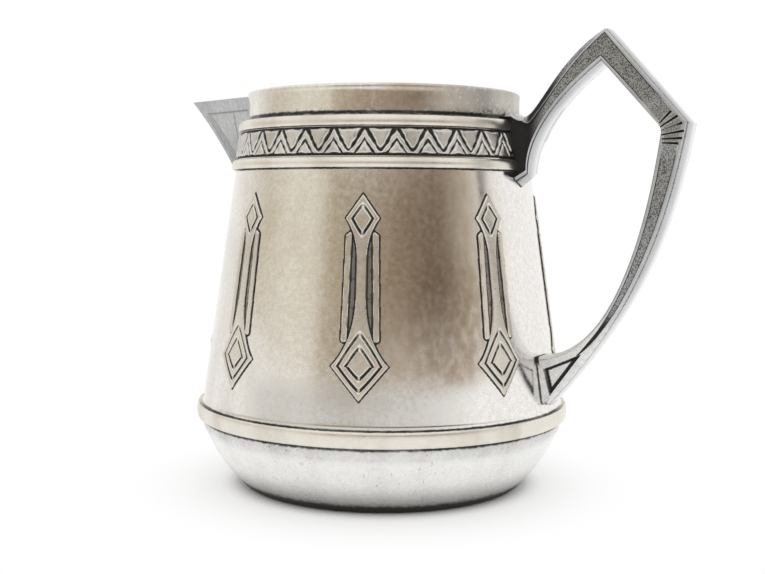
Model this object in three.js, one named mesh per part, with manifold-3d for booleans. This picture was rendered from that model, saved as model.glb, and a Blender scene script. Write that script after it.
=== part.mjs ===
import * as THREE from 'three';
import { mergeVertices } from 'three/addons/utils/BufferGeometryUtils.js';
import Module from 'manifold-3d';

// Milk jug in plated sheet metal: a turned bowl, barrel and collar, dressed with soldered bands
// and ornaments, with a folded V spout and a cast angular handle.
// Millimetres, +Z up, origin at the centre of the base, handle towards +X, spout towards -X.

const wasm = await Module();
wasm.setup();

// Sheet, solder and facets
const sheet = 1.0;                // wall of the bowl, the barrel and the collar
const solderGap = 0.3;            // room between two pieces that are soldered together
const turnSteps = 56;             // facets round a turned piece
const curveSteps = 5;             // straight steps along a curved outline
const smallSteps = 3;             // the same for a small curve
const wireSteps = 4;              // straight steps over a half-round wire
const weldDistance = 1e-4;        // corners closer than this are one corner

// Base bowl
const floorRadius = 33.6;         // flat disc that the jug stands on
const heelOut = 2.4;              // heel rounding, outwards
const heelRise = 1.2;             // heel rounding, upwards
const girthRadius = 45.8;         // widest part of the wall, behind the base band
const bellyOut = 9.6;             // pull of the belly curve, out from the floor disc
const bellyRise = 8.4;            // pull of the belly curve, up from the floor

// Base band, a flat half-round wire over the seam of bowl and barrel
const baseBandZ = 17.3;           // lower edge
const baseBandHeight = 3.9;
const baseBandThick = 0.85;

// Barrel, a straight cone over a small flare
const flareHeight = 3.4;          // from the base band up to the cone
const flareIn = 0.9;              // top of the flare, in from the widest part
const barrelTopRadius = 35.36;    // cone at its upper edge
const seatDepth = 0.6;            // channel pressed into the wall for the frieze
const seatStep = 0.5;             // height of the channel's two slopes
const seatPlay = 0.1;             // channel beyond the frieze, above and below

// Bands round the neck: bead, frieze, bead
const lowerBeadZ = 78.6;          // lower edge of the lower bead
const beadHeight = 2.5;
const lowerBeadThick = 0.85;
const upperBeadThick = 0.55;
const friezeHeight = 6.3;
const friezeBase = 0.35;          // strip under the relief
const friezeRelief = 0.45;
const friezeRepeats = 32;
const friezeMargin = 0.4;         // plain edge above and below the relief
const ribbonTall = 2.35;          // zigzag ribbon, measured upright at its peak
const ribbonFoot = 1.2;           // half of the ribbon's foot, where it stands on the lower edge
const ribbonValley = 0.6;         // height of the ribbon's end between two peaks
const ribbonLap = 0.15;           // overlap of neighbouring ribbons
const drapeGap = 1.2;             // upright gap from the ribbon to the hanging triangle
const toothGap = 0.5;             // upright gap from the ribbon to the standing triangle

// Collar and rim
const collarHeight = 7.1;         // from the top of the upper bead to the rim
const collarLap = 1.5;            // part of the collar inside the barrel

// Ornaments, measured along the barrel from the tip of the upper lozenge downwards
const ornamentCount = 8;
const ornamentDrop = 5.9;         // below the lower bead
const ornamentLength = 45.1;
const ornamentBase = 0.3;         // plate under the relief
const ornamentRelief = 0.3;
const upperLozengeDown = 5.3;     // tip to the widest point
const upperLozengeHalf = 3.7;
const waistHalf = 1.1;
const waistStart = 14.2;
const waistEnd = 21.7;
const upperPull = 5.2;            // pull of the curve above the waist
const lowerPull = 10.4;           // pull of the curve below the waist
const lowerLozengeDown = 37.7;
const lowerLozengeHalf = 6.3;
const railInner = 2.95;           // rails beside the waist, from the middle line
const railOuter = 4.45;
const railStart = 8.4;
const railEnd = 32.4;
const railSlant = 1.2;            // rail ends are cut on the slant
const upperLozengeFall = 5.3;     // lozenge grooves, from the widest point to the lower tip
const lowerLozengeRise = 9.6;     // lozenge grooves, from the widest point to the upper tip
const outerInset = 1.05;          // grooves from the lozenge's edge, along its half width
const innerInset = 2.7;
const lozengeGroove = 0.55;       // groove width
const grooveDepth = 0.2;

// Spout, two flat cheeks that meet in a curved keel
const spoutReach = 26.6;          // rim to the tip
const spoutTipRise = 0.6;         // tip above the rim
const spoutHalfAngle = 26;        // degrees, from the middle plane to a cheek
const spoutKeelIn = 13.5;         // pull of the keel curve, back from the tip
const spoutKeelDown = 16;         // pull of the keel curve, down from the tip
const spoutDrop = 34;             // tip down to the keel's end on the barrel
const spoutSheet = 1.1;
const spoutRootIn = 5.4;          // the cheeks' inner end, in from the collar's face
const spoutRootSide = 2.4;        // the cheeks carried on sideways, past the collar's face

// Handle, outline points as distance out from the wall and drop below the rim
const handleWidth = 9.4;
const handleBury = 6;             // carried on into the wall, then cut to the body
const handleEdge = 0.5;           // bevel along the edges
const lipPoint = [0.4, 5.8];
const lipPull = [1.9, 6.9];
const dipPoint = [3.1, 6.9];
const rootPull = [8.4, 6.9];
const apexPull = [14.6, -5.4];
const apexPoint = [22.7, -12.4];
const elbowPoint = [41.4, 8.8];
const armPull = [36.5, 38.3];
const innerElbowTop = [34.2, 8.2];
const innerElbowPull = [36.1, 9.9];
const innerElbowLow = [35.7, 11.4];
const innerArmPull = [32.4, 36.3];
const innerApexPoint = [21.7, -5.6];
const innerApexPull = [14.1, 0.4];
const innerRootPull = [4.1, 8.8];
const innerRootPoint = [4.1, 20.9];
const rootTipPoint = [1.2, 23.2];
// Foot of the handle, out from the wall and up from the top of the flare
const footTip = [1.5, -1.0];
const footPull = [18.6, 18.9];
const footTop = [-1.7, 10.3];
const footTopPull = [16.1, 11.2];
const footPanel = [[1.3, 7.9], [10.4, 11.4], [2.6, 2.0]];
const panelBorder = 0.9;          // raised border round the sunk side panels
const panelDepth = 0.5;
const topPanelEnd = 0.8;          // share of the top arm that the panel takes
const armPanelStart = 0.04;       // shares of the long arm between which its panel runs
const armPanelEnd = 0.7;
const fanCuts = 6;
const fanDepth = 0.35;
const fanWidth = 0.6;             // width of a cut at its outer end
const fanHub = [31.5, 11.2];      // point that the cuts run towards
const fanStart = 3.2;             // cuts begin this far from the hub
const fanLength = 10;
const rootSteps = 9;              // straight steps along the root and along the long arm
const armSteps = 14;

// Heights and radii that follow from the sizes above
const seamZ = baseBandZ + baseBandHeight / 2;
const baseBandTop = baseBandZ + baseBandHeight;
const flareTopZ = baseBandTop + flareHeight;
const friezeZ = lowerBeadZ + beadHeight + solderGap;
const friezeTopZ = friezeZ + friezeHeight;
const upperBeadZ = friezeTopZ + solderGap;
const upperBeadTop = upperBeadZ + beadHeight;
const barrelTopZ = upperBeadTop - solderGap;
const rimZ = upperBeadTop + collarHeight;
const barrelFootRadius = girthRadius - flareIn;
const barrelTaper = (barrelFootRadius - barrelTopRadius) / (barrelTopZ - flareTopZ);
const sheetAcross = sheet * Math.hypot(1, barrelTaper);
const collarRadius = barrelTopRadius - sheetAcross - solderGap;
const lipRadius = sheet / 2;
const point = (x, y) => new THREE.Vector2(x, y);

// Outer radius of the barrel's cone at height z
function wallRadius(z) {
  return barrelFootRadius - barrelTaper * (z - flareTopZ);
}

// Points along a quadratic curve, both ends included
function bow(start, pull, end, steps = curveSteps) {
  return new THREE.QuadraticBezierCurve(start, pull, end).getPoints(steps);
}

// A line of points moved sideways, to its left for a positive distance, with mitred corners
function offsetLine(line, distance) {
  const normals = [];
  for (let i = 1; i < line.length; i++) {
    const along = line[i].clone().sub(line[i - 1]).normalize();
    normals.push(point(-along.y, along.x));
  }
  return line.map((corner, i) => {
    const before = normals[Math.max(i - 1, 0)];
    const after = normals[Math.min(i, normals.length - 1)];
    const mitre = before.clone().add(after).normalize();
    return corner.clone().addScaledVector(mitre, distance / mitre.dot(after));
  });
}

// Closed triangles of a geometry as a solid
function solidOf(geometry) {
  const bare = geometry.clone();
  bare.deleteAttribute('normal');
  bare.deleteAttribute('uv');
  const welded = mergeVertices(bare, weldDistance);
  const corners = welded.index.array;
  const triangles = [];
  for (let i = 0; i < corners.length; i += 3) {
    const [a, b, c] = corners.subarray(i, i + 3);
    if (a !== b && b !== c && c !== a) triangles.push(a, b, c);
  }
  return solidFrom(welded.attributes.position.array, triangles);
}

function solidFrom(positions, triangles) {
  const vertProperties = new Float32Array(positions);
  const triVerts = new Uint32Array(triangles);
  return new wasm.Manifold(new wasm.Mesh({ numProp: 3, vertProperties, triVerts }));
}

function geometryOf(solid) {
  const { vertProperties, triVerts } = solid.getMesh();
  const geometry = new THREE.BufferGeometry();
  geometry.setAttribute('position', new THREE.BufferAttribute(vertProperties, 3));
  geometry.setIndex(new THREE.BufferAttribute(triVerts, 1));
  return geometry;
}

// Turns an outline of (radius, height) points about the Z axis
function turned(outline) {
  const onAxis = outline[0].x === 0;
  const closed = onAxis ? outline : [...outline, outline[0]];
  const geometry = new THREE.LatheGeometry(closed, turnSteps);
  geometry.rotateX(Math.PI / 2);
  return solidOf(geometry);
}

// A flat shape pushed out by a depth, starting at a height
function pushed(points, depth, start = 0) {
  const geometry = new THREE.ExtrudeGeometry(new THREE.Shape(points), { depth, bevelEnabled: false });
  geometry.translate(0, 0, start);
  return solidOf(geometry);
}

// Bends a flat solid round the cone: x runs round the wall, y is the height, z stands off it
function wrapped(solid, angle, standOff) {
  const { vertProperties, triVerts } = solid.getMesh();
  const positions = [];
  for (let i = 0; i < vertProperties.length; i += 3) {
    const [across, height, out] = vertProperties.subarray(i, i + 3);
    const turn = angle + across / wallRadius(height);
    const radius = wallRadius(height) + standOff + out;
    positions.push(radius * Math.cos(turn), radius * Math.sin(turn), height);
  }
  return solidFrom(positions, triVerts);
}

// The other half of a flat solid, across x = 0
function mirrored(solid) {
  const { vertProperties, triVerts } = solid.getMesh();
  const positions = vertProperties.map((value, i) => (i % 3 === 0 ? -value : value));
  const triangles = triVerts.slice();
  for (let i = 0; i < triangles.length; i += 3) {
    triangles[i] = triVerts[i + 1];
    triangles[i + 1] = triVerts[i];
  }
  return solidFrom(positions, triangles);
}

// Bowl: flat floor, rounded heel and swelling belly up to the seam
function makeBowl() {
  const heel = point(floorRadius + heelOut, heelRise);
  const belly = point(floorRadius + bellyOut, bellyRise);
  const outer = [
    point(0, 0),
    ...bow(point(floorRadius, 0), point(floorRadius + heelOut / 2, 0), heel, smallSteps),
    ...bow(heel, belly, point(girthRadius, baseBandZ)).slice(1),
    point(girthRadius, seamZ),
  ];
  const inner = offsetLine(outer, sheet);
  return turned([...outer, ...inner.reverse()]);
}

// Outer face of the barrel from the seam to its upper edge
function barrelFace() {
  const flareFoot = point(girthRadius, baseBandTop);
  const flarePull = point(wallRadius(baseBandTop + flareHeight / 3), baseBandTop + flareHeight / 3);
  const seatLow = friezeZ - seatPlay;
  const seatHigh = friezeTopZ + seatPlay;
  return [
    point(girthRadius, seamZ + solderGap),
    ...bow(flareFoot, flarePull, point(wallRadius(flareTopZ), flareTopZ), smallSteps),
    point(wallRadius(seatLow - seatStep), seatLow - seatStep),
    point(wallRadius(seatLow) - seatDepth, seatLow),
    point(wallRadius(seatHigh) - seatDepth, seatHigh),
    point(wallRadius(seatHigh + seatStep), seatHigh + seatStep),
    point(barrelTopRadius, barrelTopZ),
  ];
}

function makeBarrel() {
  const outer = barrelFace();
  const inner = offsetLine(outer, sheet);
  return turned([...outer, ...inner.reverse()]);
}

// Collar: an upright ring let into the top of the barrel, with a rounded lip
function makeCollar() {
  const foot = barrelTopZ - collarLap;
  const inner = collarRadius - sheet;
  const lip = [];
  for (let i = 0; i <= smallSteps; i++) {
    const turn = Math.PI * i / smallSteps;
    const middle = collarRadius - lipRadius;
    lip.push(point(middle + lipRadius * Math.cos(turn), rimZ - lipRadius + lipRadius * Math.sin(turn)));
  }
  return turned([point(collarRadius, foot), ...lip, point(inner, foot)]);
}

// Half-round wire round the wall; seat(z) is the radius that it lies on
function makeWire(bottom, height, thick, seat) {
  const outline = [];
  for (let i = 0; i <= wireSteps; i++) {
    const turn = Math.PI * (i / wireSteps - 0.5);
    const z = bottom + height / 2 * (1 + Math.sin(turn));
    const swell = Math.sqrt(Math.max(Math.cos(turn), 0));
    outline.push(point(seat(z) + thick * swell, z));
  }
  return turned(outline);
}

// Frieze: a conical strip with a zigzag ribbon between hanging and standing triangles
function makeFrieze() {
  const seat = (z) => wallRadius(z) - seatDepth + solderGap;
  let strip = turned([
    point(seat(friezeZ) + friezeBase, friezeZ),
    point(seat(friezeTopZ) + friezeBase, friezeTopZ),
    point(seat(friezeTopZ), friezeTopZ),
    point(seat(friezeZ), friezeZ),
  ]);
  const half = Math.PI * wallRadius(friezeZ) / friezeRepeats;
  const low = friezeZ + friezeMargin;
  const high = friezeTopZ - friezeMargin;
  const chevron = [
    point(-half - ribbonLap, low),
    point(ribbonFoot - half, low),
    point(0, high - ribbonTall),
    point(half - ribbonFoot, low),
    point(half + ribbonLap, low),
    point(half + ribbonLap, low + ribbonValley),
    point(0, high),
    point(-half - ribbonLap, low + ribbonValley),
  ];
  const drapeTip = low + ribbonValley + drapeGap;
  const drapeHalf = half * (high - drapeTip) / (high - low - ribbonValley);
  const drape = [point(-drapeHalf, high), point(0, drapeTip), point(drapeHalf, high)];
  const toothTip = high - ribbonTall - toothGap;
  const toothHalf = (half - ribbonFoot) * (toothTip - low) / (high - ribbonTall - low);
  const tooth = [point(-toothHalf, low), point(toothHalf, low), point(0, toothTip)];
  const sunk = friezeBase / 2;
  const standOff = seat(friezeZ) + friezeBase - wallRadius(friezeZ);
  for (const [shape, share] of [[chevron, 0], [drape, 0.5], [tooth, 0]]) {
    const raised = pushed(shape, sunk + friezeRelief, -sunk);
    for (let i = 0; i < friezeRepeats; i++) {
      strip = strip.add(wrapped(raised, 2 * Math.PI * (i + share) / friezeRepeats, standOff));
    }
  }
  return strip;
}

// Right half of a lozenge groove: a bent ribbon from the upper to the lower tip
function lozengeRibbon(middle, half, rise, fall, inset) {
  const outer = 1 - inset / half;
  const inner = 1 - (inset + lozengeGroove) / half;
  return [
    point(0, middle + rise * outer),
    point(0, middle + rise * inner),
    point(half * inner, middle),
    point(0, middle - fall * inner),
    point(0, middle - fall * outer),
    point(half * outer, middle),
  ];
}

// Ornament: a spear with a lozenge at each end, between two rails, on a thin plate
function makeOrnament() {
  const top = lowerBeadZ - ornamentDrop;
  const down = (distance) => top - distance;
  const upperMiddle = down(upperLozengeDown);
  const lowerMiddle = down(lowerLozengeDown);
  const lowerFall = ornamentLength - lowerLozengeDown;
  const spear = [
    point(0, down(ornamentLength)),
    ...bow(point(lowerLozengeHalf, lowerMiddle), point(waistHalf, down(waistEnd + lowerPull)),
      point(waistHalf, down(waistEnd))),
    ...bow(point(waistHalf, down(waistStart)), point(waistHalf, down(waistStart - upperPull)),
      point(upperLozengeHalf, upperMiddle), smallSteps),
    point(0, top),
  ];
  const rail = [
    point(railInner, down(railEnd - railSlant)),
    point(railOuter, down(railEnd)),
    point(railOuter, down(railStart)),
    point(railInner, down(railStart + railSlant)),
  ];
  const ground = [
    point(0, down(railEnd)),
    point(railOuter, down(railEnd)),
    point(railOuter, down(railStart)),
    point(0, down(railStart)),
  ];
  const face = ornamentBase + ornamentRelief;
  const grooves = [
    lozengeRibbon(upperMiddle, upperLozengeHalf, upperLozengeDown, upperLozengeFall, outerInset),
    lozengeRibbon(lowerMiddle, lowerLozengeHalf, lowerLozengeRise, lowerFall, outerInset),
    lozengeRibbon(lowerMiddle, lowerLozengeHalf, lowerLozengeRise, lowerFall, innerInset),
  ];
  let half = pushed(ground, ornamentBase).add(pushed(spear, face)).add(pushed(rail, face));
  for (const groove of grooves) {
    half = half.subtract(pushed(groove, ornamentRelief, face - grooveDepth));
  }
  const otherHalf = mirrored(half);
  return (angle) => wrapped(half, angle, solderGap).add(wrapped(otherHalf, angle, solderGap));
}

// Half width at which the spout's cheeks meet the collar's face
function spoutRootHalf(halfAngle) {
  const crossing = Math.asin((collarRadius + spoutReach) * Math.sin(halfAngle) / collarRadius);
  return collarRadius * Math.sin(crossing - halfAngle);
}

// Solid wedge of the spout; its cheeks are moved out by a distance, and its top is lifted
function spoutWedge(moved, lifted) {
  const halfAngle = THREE.MathUtils.degToRad(spoutHalfAngle);
  const shift = moved / Math.sin(halfAngle);
  const tipX = -collarRadius - spoutReach - shift;
  const tipZ = rimZ + spoutTipRise;
  const endZ = tipZ - spoutDrop;
  const endX = -wallRadius(endZ) - shift;
  const backX = -collarRadius + spoutRootIn;
  const backZ = rimZ - spoutTipRise * spoutRootIn / spoutReach;
  const keel = bow(point(tipX, tipZ), point(tipX + spoutKeelIn, tipZ - spoutKeelDown), point(endX, endZ));
  const lid = lifted > 0 ? [point(tipX, tipZ + lifted)] : [];
  const profile = [point(backX, backZ + lifted), ...lid, ...keel, point(backX, endZ)];
  const half = spoutRootHalf(halfAngle) + spoutRootSide;
  const cheeks = new THREE.ExtrudeGeometry(new THREE.Shape(profile), {
    depth: 2 * half,
    steps: 2,
    bevelEnabled: false,
  });
  cheeks.rotateX(Math.PI / 2);
  cheeks.translate(0, half, 0);
  const places = cheeks.attributes.position;
  for (let i = 0; i < places.count; i++) {
    places.setX(i, places.getX(i) + Math.abs(places.getY(i)) / Math.tan(halfAngle));
  }
  return solidOf(cheeks);
}

// Everything inside the body's outer face, with room for solder; the bands are left out or kept
function bodyCore(bands) {
  const face = [
    point(girthRadius, seamZ),
    point(girthRadius, baseBandTop),
    point(wallRadius(flareTopZ), flareTopZ),
  ];
  if (bands) {
    const frieze = friezeBase + friezeRelief + solderGap - seatDepth;
    face.push(
      point(wallRadius(lowerBeadZ), lowerBeadZ - solderGap),
      point(wallRadius(lowerBeadZ) + solderGap + lowerBeadThick, lowerBeadZ - solderGap),
      point(wallRadius(friezeZ) + solderGap + lowerBeadThick, friezeZ),
      point(wallRadius(friezeZ) + frieze, friezeZ),
      point(wallRadius(upperBeadZ) + frieze, upperBeadZ - solderGap),
      point(wallRadius(upperBeadZ) + solderGap + upperBeadThick, upperBeadZ - solderGap),
      point(wallRadius(upperBeadTop) + solderGap + upperBeadThick, upperBeadTop + solderGap),
    );
  } else {
    face.push(point(wallRadius(upperBeadTop), upperBeadTop));
  }
  face.push(point(collarRadius, face.at(-1).y), point(collarRadius, rimZ + spoutTipRise + collarHeight));
  const roomy = face.map((corner) => point(corner.x + solderGap, corner.y));
  return turned([point(0, seamZ), ...roomy, point(0, roomy.at(-1).y)]);
}

// Handle outline points, in the plane of the handle
const rootWall = wallRadius(friezeZ + friezeHeight / 2);
const footWall = wallRadius(flareTopZ);
const upper = ([out, drop]) => point(rootWall + out, rimZ - drop);
const lower = ([out, up]) => point(footWall + out, flareTopZ + up);
const reach = (...ends) => new THREE.CubicBezierCurve(...ends);
const leftOuter = reach(...[dipPoint, rootPull, apexPull, apexPoint].map(upper));
const rightOuter = reach(upper(elbowPoint), upper(armPull), lower(footPull), lower(footTip));
const leftInner = reach(...[innerRootPoint, innerRootPull, innerApexPull, innerApexPoint].map(upper));
const rightInner = reach(upper(innerElbowLow), upper(innerArmPull), lower(footTopPull), lower(footTop));

// Points of a curve between two of its shares
function stretch(curve, from, to, steps) {
  const points = [];
  for (let i = 0; i <= steps; i++) points.push(curve.getPoint(from + (to - from) * i / steps));
  return points;
}

function handleOutline() {
  const lipStart = upper(lipPoint);
  const buried = rootWall - handleBury;
  const rootTip = upper(rootTipPoint);
  return [
    point(buried, lipStart.y),
    ...bow(lipStart, upper(lipPull), upper(dipPoint), smallSteps).slice(0, -1),
    ...stretch(leftOuter, 0, 1, rootSteps),
    ...stretch(rightOuter, 0, 1, armSteps),
    point(footWall - handleBury, lower(footTip).y),
    point(footWall - handleBury, lower(footTop).y),
    ...stretch(rightInner, 1, 0, armSteps),
    ...bow(upper(innerElbowLow), upper(innerElbowPull), upper(innerElbowTop), smallSteps).slice(1),
    ...stretch(leftInner, 1, 0, rootSteps),
    rootTip,
    point(buried, rootTip.y),
  ];
}

// Sunk panels on one side: along the root and top arm, down the long arm, and in the foot
function sidePanels() {
  const topEnd = upper(apexPoint).lerp(upper(elbowPoint), topPanelEnd);
  const innerTopEnd = upper(innerApexPoint).lerp(upper(innerElbowTop), topPanelEnd);
  const rootStart = point(rootWall - handleBury, upper(dipPoint).y);
  const rootEnd = point(rootWall - handleBury, upper(innerRootPoint).y);
  const topPanel = [
    ...offsetLine([rootStart, ...stretch(leftOuter, 0, 1, rootSteps), topEnd], -panelBorder),
    ...offsetLine([...stretch(leftInner, 0, 1, rootSteps), innerTopEnd], panelBorder).reverse(),
    rootEnd,
  ];
  const armPanel = [
    ...offsetLine(stretch(rightOuter, armPanelStart, armPanelEnd, rootSteps), -panelBorder),
    ...offsetLine(stretch(rightInner, armPanelStart, armPanelEnd, rootSteps), panelBorder).reverse(),
  ];
  return [topPanel, armPanel, footPanel.map(lower)];
}

// Narrow cuts that fan out over the elbow, between the ends of the two panels
function fanShapes() {
  const hub = upper(fanHub);
  const first = upper(apexPoint).lerp(upper(elbowPoint), topPanelEnd).sub(hub);
  const last = rightOuter.getPoint(armPanelStart).sub(hub);
  const firstTurn = Math.atan2(first.y, first.x);
  const lastTurn = Math.atan2(last.y, last.x);
  const shapes = [];
  for (let i = 0; i < fanCuts; i++) {
    const turn = firstTurn + (lastTurn - firstTurn) * (i + 0.5) / fanCuts;
    const along = point(Math.cos(turn), Math.sin(turn));
    const side = point(-along.y, along.x).multiplyScalar(fanWidth / 2);
    const near = hub.clone().addScaledVector(along, fanStart);
    const far = near.clone().addScaledVector(along, fanLength);
    shapes.push([near, far.clone().sub(side), far.clone().add(side)]);
  }
  return shapes;
}

// Upright plate cut to an outline in the X Z plane, centred on a place across
function plate(points, width, middle, edge = 0) {
  const geometry = new THREE.ExtrudeGeometry(new THREE.Shape(points), {
    depth: width - 2 * edge,
    bevelEnabled: edge > 0,
    bevelThickness: edge,
    bevelSize: edge,
    bevelOffset: -edge,
    bevelSegments: 1,
  });
  geometry.rotateX(Math.PI / 2);
  geometry.translate(0, middle + width / 2 - edge, 0);
  return solidOf(geometry);
}

function makeHandle() {
  let handle = plate(handleOutline(), handleWidth, 0, handleEdge);
  for (const side of [-1, 1]) {
    const face = side * handleWidth / 2;
    for (const panel of sidePanels()) handle = handle.subtract(plate(panel, 2 * panelDepth, face));
    for (const cut of fanShapes()) handle = handle.subtract(plate(cut, 2 * fanDepth, face));
  }
  return handle.subtract(bodyCore(true));
}

// Finishes: bright on the raised and rubbed parts, duller where the metal has darkened
const brightMetal = { color: 0xc9c6bf, roughness: 0.32, metalness: 1 };
const warmMetal = { color: 0xcdc4b4, roughness: 0.34, metalness: 1 };
const wallMetal = { color: 0xb9b0a2, roughness: 0.36, metalness: 1 };
const greyMetal = { color: 0x9d9b98, roughness: 0.44, metalness: 1 };

const jug = new THREE.Group();

function addPiece(name, solid, finish) {
  const mesh = new THREE.Mesh(geometryOf(solid), new THREE.MeshStandardMaterial(finish));
  mesh.name = name;
  jug.add(mesh);
}

const channel = spoutWedge(-spoutSheet, collarHeight);
const spoutRoom = spoutWedge(solderGap, collarHeight);
const wallSeat = (z) => wallRadius(z) + solderGap;
const bandSeat = () => girthRadius + solderGap;
const lowerBead = makeWire(lowerBeadZ, beadHeight, lowerBeadThick, wallSeat);
const upperBead = makeWire(upperBeadZ, beadHeight, upperBeadThick, wallSeat);
const spout = spoutWedge(0, 0).subtract(channel).subtract(bodyCore(false));

addPiece('base_bowl', makeBowl(), brightMetal);
addPiece('base_band', makeWire(baseBandZ, baseBandHeight, baseBandThick, bandSeat), warmMetal);
addPiece('barrel', makeBarrel().subtract(channel), wallMetal);
addPiece('lower_bead', lowerBead.subtract(spoutRoom), warmMetal);
addPiece('frieze_strip', makeFrieze().subtract(spoutRoom), greyMetal);
addPiece('upper_bead', upperBead.subtract(spoutRoom), warmMetal);
addPiece('collar', makeCollar().subtract(channel), wallMetal);
addPiece('spout', spout, greyMetal);
addPiece('handle', makeHandle(), greyMetal);

const ornamentAt = makeOrnament();
for (let i = 0; i < ornamentCount; i++) {
  addPiece(`ornament_${i + 1}`, ornamentAt(2 * Math.PI * (i + 0.5) / ornamentCount), warmMetal);
}

export default jug;
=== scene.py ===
import math
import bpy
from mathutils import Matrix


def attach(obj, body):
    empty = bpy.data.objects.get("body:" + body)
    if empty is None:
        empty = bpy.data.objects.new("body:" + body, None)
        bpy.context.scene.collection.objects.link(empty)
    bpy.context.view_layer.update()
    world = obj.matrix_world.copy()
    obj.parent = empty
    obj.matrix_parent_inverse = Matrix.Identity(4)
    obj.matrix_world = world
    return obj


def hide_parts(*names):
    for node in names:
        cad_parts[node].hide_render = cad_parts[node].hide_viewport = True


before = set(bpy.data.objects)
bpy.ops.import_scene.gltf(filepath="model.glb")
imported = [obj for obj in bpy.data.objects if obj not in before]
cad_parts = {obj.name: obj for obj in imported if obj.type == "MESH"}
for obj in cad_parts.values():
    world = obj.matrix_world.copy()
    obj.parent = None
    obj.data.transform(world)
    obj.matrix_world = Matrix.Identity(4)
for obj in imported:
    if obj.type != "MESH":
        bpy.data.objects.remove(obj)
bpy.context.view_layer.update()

from types import SimpleNamespace

import bmesh
import bpy
import numpy as np
from mathutils import Matrix, Vector

scene = bpy.context.scene
scene.view_settings.view_transform = "Standard"
mm = 0.001
print("frame loaded,", len(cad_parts), "nodes")

view = {"azimuth": 29.1, "distance": 288.6, "height": 71.2, "pitch": 4.34, "roll": 0.37, "lens": 53.25,
        "sensor": 36, "near": 0.01}


def placeCamera():
    turn = math.radians(view["azimuth"])
    stand = Vector((math.sin(turn), -math.cos(turn), 0)) * view["distance"] * mm
    stand.z = view["height"] * mm
    aim = (Matrix.Rotation(turn, 4, "Z")
           @ Matrix.Rotation(math.radians(90 - view["pitch"]), 4, "X")
           @ Matrix.Rotation(math.radians(view["roll"]), 4, "Z"))
    camera = bpy.data.objects.new("camera", bpy.data.cameras.new("camera"))
    camera.data.lens = view["lens"]
    camera.data.sensor_width = view["sensor"]
    camera.data.clip_start = view["near"]
    camera.matrix_world = Matrix.Translation(stand) @ aim
    scene.collection.objects.link(camera)
    scene.camera = camera


placeCamera()
print("camera placed")


# node trees: sums are written on wires, every other node comes from Graph.add
class Wire:
    def __init__(self, graph, socket):
        self.graph = graph
        self.socket = socket

    def sums(self, operation, *terms):
        return self.graph.add("ShaderNodeMath", {"operation": operation}, dict(enumerate(terms)))["Value"]

    def __add__(self, other):
        return self.sums("ADD", self, other)

    def __radd__(self, other):
        return self.sums("ADD", other, self)

    def __sub__(self, other):
        return self.sums("SUBTRACT", self, other)

    def __rsub__(self, other):
        return self.sums("SUBTRACT", other, self)

    def __mul__(self, other):
        return self.sums("MULTIPLY", self, other)

    def __rmul__(self, other):
        return self.sums("MULTIPLY", other, self)

    def __truediv__(self, other):
        return self.sums("DIVIDE", self, other)

    def __pow__(self, other):
        return self.sums("POWER", self, other)

    def __abs__(self):
        return self.sums("ABSOLUTE", self)

    def cosine(self):
        return self.sums("COSINE", self)

    def sine(self):
        return self.sums("SINE", self)

    def angleFrom(self, other):  # turn of the point (other, self) round the axis
        return self.sums("ARCTAN2", self, other)

    def least(self, other):
        return self.sums("MINIMUM", self, other)

    def most(self, other):
        return self.sums("MAXIMUM", self, other)

    def fade(self, start, end):  # 0 at start, 1 at end, soft between
        return self.graph.add("ShaderNodeMapRange", {"interpolation_type": "SMOOTHSTEP"},
                              {"Value": self, "From Min": start, "From Max": end})["Result"]


class Graph:
    def __init__(self, tree):
        self.tree = tree

    def add(self, kind, settings=None, inputs=None):
        node = self.tree.nodes.new(kind)
        for name, value in (settings or {}).items():
            if name == "stops":
                while len(node.color_ramp.elements) < len(value):
                    node.color_ramp.elements.new(1)
                for stop, (place, colour) in zip(node.color_ramp.elements, value):
                    stop.position = place
                    stop.color = (*colour, 1)
            else:
                setattr(node, name, value)
        for key, value in (inputs or {}).items():
            if isinstance(value, Wire):
                self.tree.links.new(value.socket, node.inputs[key])
            else:
                node.inputs[key].default_value = value
        return {socket.name: Wire(self, socket) for socket in node.outputs if socket.enabled}

    def blend(self, share, first, second):  # colours, by share
        colours = {key: value if isinstance(value, Wire) else (*value, 1)
                   for key, value in ((6, first), (7, second))}
        return self.add("ShaderNodeMix", {"data_type": "RGBA"}, {0: share, **colours})["Result"]

    def noise(self, place, scale, detail, stretch, seed):
        mapped = self.add("ShaderNodeMapping", None,
                          {"Vector": place, "Scale": stretch, "Location": (seed, seed * 0.7, -seed)})["Vector"]
        return self.add("ShaderNodeTexNoise", None, {"Vector": mapped, "Scale": scale, "Detail": detail})["Fac"]


def newMaterial(name):
    material = bpy.data.materials.new(name)
    material.use_nodes = True
    material.node_tree.nodes.clear()
    return material, Graph(material.node_tree)


# shapes: everything is worked out in millimetres and stored in metres
weld = {"doubles": 0.002, "slivers": 0.0005, "sharp": 35}


def bow(a, b, c, steps):
    t = np.linspace(0, 1, steps + 1)[:, None]
    return (1 - t) ** 2 * np.array(a) + 2 * t * (1 - t) * np.array(b) + t ** 2 * np.array(c)


def reach(a, b, c, d, shares):
    t = np.asarray(shares, float)[:, None]
    return ((1 - t) ** 3 * np.array(a) + 3 * t * (1 - t) ** 2 * np.array(b)
            + 3 * t ** 2 * (1 - t) * np.array(c) + t ** 3 * np.array(d))


def offsetLine(points, distance):  # to the left of the way the line runs
    points = np.asarray(points, float)
    runs = np.diff(points, axis=0)
    runs /= np.linalg.norm(runs, axis=1)[:, None]
    sides = np.stack([-runs[:, 1], runs[:, 0]], axis=1)
    before = np.vstack([sides[:1], sides])
    after = np.vstack([sides, sides[-1:]])
    mitre = before + after
    mitre /= (mitre * before).sum(axis=1)[:, None]
    return points + distance * mitre


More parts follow.
